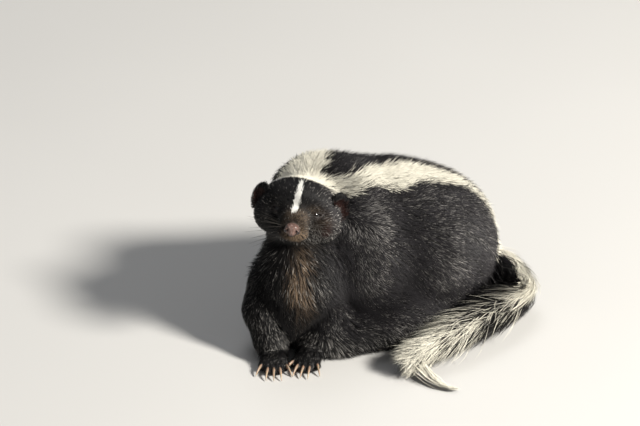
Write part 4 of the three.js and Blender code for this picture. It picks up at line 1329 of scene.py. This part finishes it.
def tail_lines(t, angle, length, layer, spread, sway, draw, steps):
    """Lines of tail hair: from the core at a share of the tail and an angle, out to the brush's edge."""
    reach = length / TAIL_LENGTH
    root_far = tail_core(t) - COAT_DEPTH["tail"] - 0.6
    tip_far = tail_bush(t + reach) * layer
    lines = np.empty((len(t), steps + 1, 3))
    for i in range(steps + 1):
        s = i / steps
        p = beside_tail(t + reach * s, angle + (spread + sway * s) * s, blend(root_far, tip_far, s**0.8))
        if i:
            p = p + unit(slope(body, p)) * np.maximum(1.5 - evaluate(body, p), 0)[:, None]
        p[:, 2] = np.maximum(p[:, 2], draw.uniform(0.4, 1, len(t)))
        lines[:, i] = p
    at, along = on_line(TAIL_LINE, t)
    return lines, unit(np.cross(unit(lines[:, 1] - at), along))


def ridge_angle(t):
    """Where the tail's white ridge runs: on the outer side of the bend, then on top."""
    return -0.6 * (1 - smooth(t, 0.22, 0.42))


def wisps(count, around, each, draw):
    """Roots in small groups: shares and angles, and the number of each hair's group."""
    groups = max(1, count // each)
    t = draw.random(groups)
    angle = draw.uniform(-around, around, groups)
    own = draw.integers(0, groups, count)
    return t[own] + draw.normal(0, 0.02, count), angle[own] + draw.normal(0, 0.16, count), own


def black_brush(draw):
    """Black hair under and inside the brush, longest in the crook of the bend."""
    count = int(HAIR_COUNT["tail_black"] * DENSITY)
    t = 0.97 * draw.random(count) ** 1.2 - 0.04
    angle = draw.uniform(-math.pi, math.pi, count)
    length = HAIR_LENGTH["tail_black"] * draw.uniform(0.6, 1.2, count) * (0.7 + 0.3 * smooth(t, 0, 0.2))
    length = np.minimum(length, (1.04 - t) * TAIL_LENGTH)
    crook = np.clip(np.sin(angle), 0, 1) * smooth(t, -0.04, 0.06) * (1 - smooth(t, 0.4, 0.6))
    deep = draw.random(count) ** 0.6
    layer = (0.3 + 0.62 * deep) * (1 + 0.9 * crook)
    lines, side = tail_lines(t, angle, length, layer, 0, draw.normal(0, 0.3, count), draw, 3)
    keep = (t >= 0.3) | (np.abs(angle - ridge_angle(t)) >= 0.75) | (deep <= 0.3)
    return lines[keep], side[keep], t[keep]


def rump_fringe(draw):
    """Black hair that hangs from the rump to the floor behind the crook."""
    count = int(HAIR_COUNT["rump"] * DENSITY)
    roots = settle(body, np.array([148, 106, 30]) + draw.normal(0, 1, (count, 3)) * [7, 16, 7], -4.0, 4)
    out = unit(slope(body, roots))
    fall = HAIR_LENGTH["rump"] * draw.uniform(0.7, 1.3, count)[:, None, None]
    sway = draw.normal(0, 0.16, (count, 3)) + [0.12, -0.05, -1]
    s = np.linspace(0, 1, 4)[:, None]
    lines = roots[:, None] + out[:, None] * 9 * s**0.6 + sway[:, None] * fall * s
    lines[:, :, 2] = np.maximum(lines[:, :, 2], draw.uniform(0.5, 1.5, (count, 1)))
    return lines, unit(np.cross(out, sway)), np.zeros(count)


def white_brush(draw):
    """White hair in wisps that fan out from the ridge to both sides, closest towards the end."""
    t, angle, own = wisps(int(HAIR_COUNT["tail_white"] * DENSITY), 1.25, 11, draw)
    rooted = t >= 0
    t = 0.97 * np.maximum(t, 0) ** (1 + 0.35 * (t < 0.5))
    inner = smooth(angle, -0.3, 0.5) * smooth(t, 0.08, 0.14) * (1 - smooth(t, 0.42, 0.58))
    thin = (0.28 + 0.47 * smooth(t, 0.15, 0.3) * (1 - smooth(t, 0.6, 0.88))) * (t >= 0.2)
    dark_patch = np.exp(-(((t - 0.3) / 0.07) ** 2)) + np.exp(-(((t - 0.66) / 0.08) ** 2))
    outer = smooth(-angle, 0.3, 0.8) * dark_patch
    gap = np.maximum(thin, 0.9 * np.maximum(inner, outer))
    keep = rooted & (draw.random(own.max() + 1)[own] > gap)
    t, angle, own = np.clip(t[keep], -0.04, 0.98), angle[keep], own[keep]
    count = len(t)
    length = HAIR_LENGTH["tail_white"] * draw.uniform(0.6, 1.2, count) * (0.6 + 0.4 * smooth(t, 0, 0.25))
    length = np.minimum(length, (1.0 - t + 0.11 * draw.random(count)) * TAIL_LENGTH)
    group, curl = draw.random((2, own.max() + 1))[:, own]
    narrow = 0.3 + 0.7 * smooth(t, 0.2, 0.45)
    layer = 0.68 + 0.36 * group + 0.12 * draw.normal(0, 1, count)
    spread = (0.6 * angle + 0.9 * (group - 0.5)) * narrow
    sway = (1.6 * (curl - 0.5) + draw.normal(0, 0.3, count)) * narrow
    return *tail_lines(t, ridge_angle(t) + angle * narrow, length, layer, spread, sway, draw, 5), t


def tip_lock(draw):
    """The pale lock at the tail's tip, which curls back along the floor."""
    count = int(HAIR_COUNT["tail_tip"] * DENSITY)
    curl = smooth_line(TIP_LOCK, 81)
    start = 0.55 * draw.random(count) ** 1.5
    end = np.minimum(1, start + draw.uniform(0.4, 0.7, count))
    stray = 1 + 1.2 * (draw.random((count, 1)) > 0.88)
    shift = draw.normal(0, 1, (count, 3)) * [1.6, 1.6, 1.2] * stray
    wave = draw.normal(0, 0.5, (count, 3))
    lines = np.empty((count, 5, 3))
    for i in range(5):
        t = blend(start, end, i / 4)
        lines[:, i] = on_line(curl, t)[0] + shift * (1.2 - 0.8 * t)[:, None] + wave * math.sin(1.6 * i)
    lines[:, :, 2] = np.maximum(lines[:, :, 2], 0.5)
    return lines, unit(np.cross([0, 0, 1], lines[:, 1] - lines[:, 0])), np.ones(count)


def make_tail_hair():
    draw = np.random.default_rng(5)
    pieces = [
        ("tail_hair_black", 0.3, False, black_brush(draw)),
        ("rump_hair", 0.3, False, rump_fringe(draw)),
        ("tail_hair_white", 0.21, True, white_brush(draw)),
        ("tail_tip_lock", 0.3, True, tip_lock(draw)),
    ]
    for name, half, white, hair in pieces:
        keep = evaluate(body, hair[0][:, 0]) > -9
        lines, side, t = [a[keep] for a in hair]
        count = len(lines)
        wide = half * draw.uniform(0.7, 1.3, count) * (1 + 0.5 * white * (1 - smooth(t, 0.15, 0.4)))
        shade = draw.random((count, 1))
        if white:
            tip = CREAM * (0.9 + 0.2 * shade)
            root = mixed(tip, BLACK, 0.75 * smooth(t, 0.15, 0.3) * (1 - smooth(t, 0.6, 0.85)))
        else:
            root = BLACK * (0.6 + 0.8 * shade)
            # Painted glints: light grey tips on about a fifth of the black tail hairs.
            tip = root + GLINT * 0.3 * (shade > 0.8) * draw.random((count, 1))
        make_hair(name, lines, side, wide, (root, tip), around_line(lines[:, 0], TAIL_LINE[::4]), white)


# Camera, lights and floor
VIEW = {"elevation": 30, "lens": 185.7, "target": [80, 60, 60], "right": -58, "up": 43.2, "back": 2600}


def look_at(thing, at, target):
    way = np.asarray(target, float) - np.asarray(at, float)
    thing.location = at
    thing.rotation_euler = Vector(way).to_track_quat("-Z", "Y").to_euler()


def make_camera():
    e = math.radians(VIEW["elevation"])
    forward = np.array([0, math.cos(e), -math.sin(e)])
    right = np.array([1.0, 0, 0])
    up = np.cross(right, forward)
    at = VIEW["target"] + right * VIEW["right"] + up * VIEW["up"] - forward * VIEW["back"]
    data = bpy.data.cameras.new("camera")
    data.lens, data.sensor_width, data.clip_end = VIEW["lens"], 36, 50
    camera = put_in_scene("camera", data)
    at = (at + SHIFT) * 0.001
    look_at(camera, at, at + forward)
    bpy.context.scene.camera = camera


LIGHTS = {
    "key": {"at": (2.1, -1.15, 1.85), "size": 0.6, "power": 172, "colour": (1, 0.965, 0.9)},
    "top": {"at": (-0.3, 0.9, 2.6), "size": 1.6, "power": 16, "colour": (0.95, 0.97, 1)},
    "fill": {"at": (-1.6, -1.8, 1.1), "size": 1.8, "power": 2.5, "colour": (0.93, 0.96, 1)},
}
SKY = {"Color": (0.82, 0.83, 0.85, 1), "Strength": 0.13}
FLOOR_HALF = 4


def make_studio():
    for name, light in LIGHTS.items():
        data = bpy.data.lights.new(name, "AREA")
        data.shape = "DISK"
        data.size, data.energy, data.color = light["size"], light["power"], light["colour"]
        look_at(put_in_scene(name, data), light["at"], (0, 0, 0.06))
    world = bpy.data.worlds.new("studio")
    world.use_nodes = True
    for key, value in SKY.items():
        world.node_tree.nodes["Background"].inputs[key].default_value = value
    bpy.context.scene.world = world
    bpy.context.scene.view_settings.view_transform = "Standard"
    corners = [(x * FLOOR_HALF, y * FLOOR_HALF, 0) for x, y in ((-1, -1), (1, -1), (1, 1), (-1, 1))]
    mesh = bpy.data.meshes.new("floor")
    mesh.from_pydata(corners, [], [(0, 1, 2, 3)])
    mesh.materials.append(make_material("floor"))
    put_in_scene("floor", mesh)


def main():
    make_camera()
    make_studio()
    skin, points, faces = make_skin()
    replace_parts(skin, *[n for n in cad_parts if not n.startswith(("eye_", "nose"))])
    make_nose()
    make_eyes(skin.data.materials[0])
    make_claws()
    make_whiskers()
    make_coat(points, faces)
    make_glint_hair(points, faces)
    make_ear_hair(points, faces)
    make_tail_hair()


main()
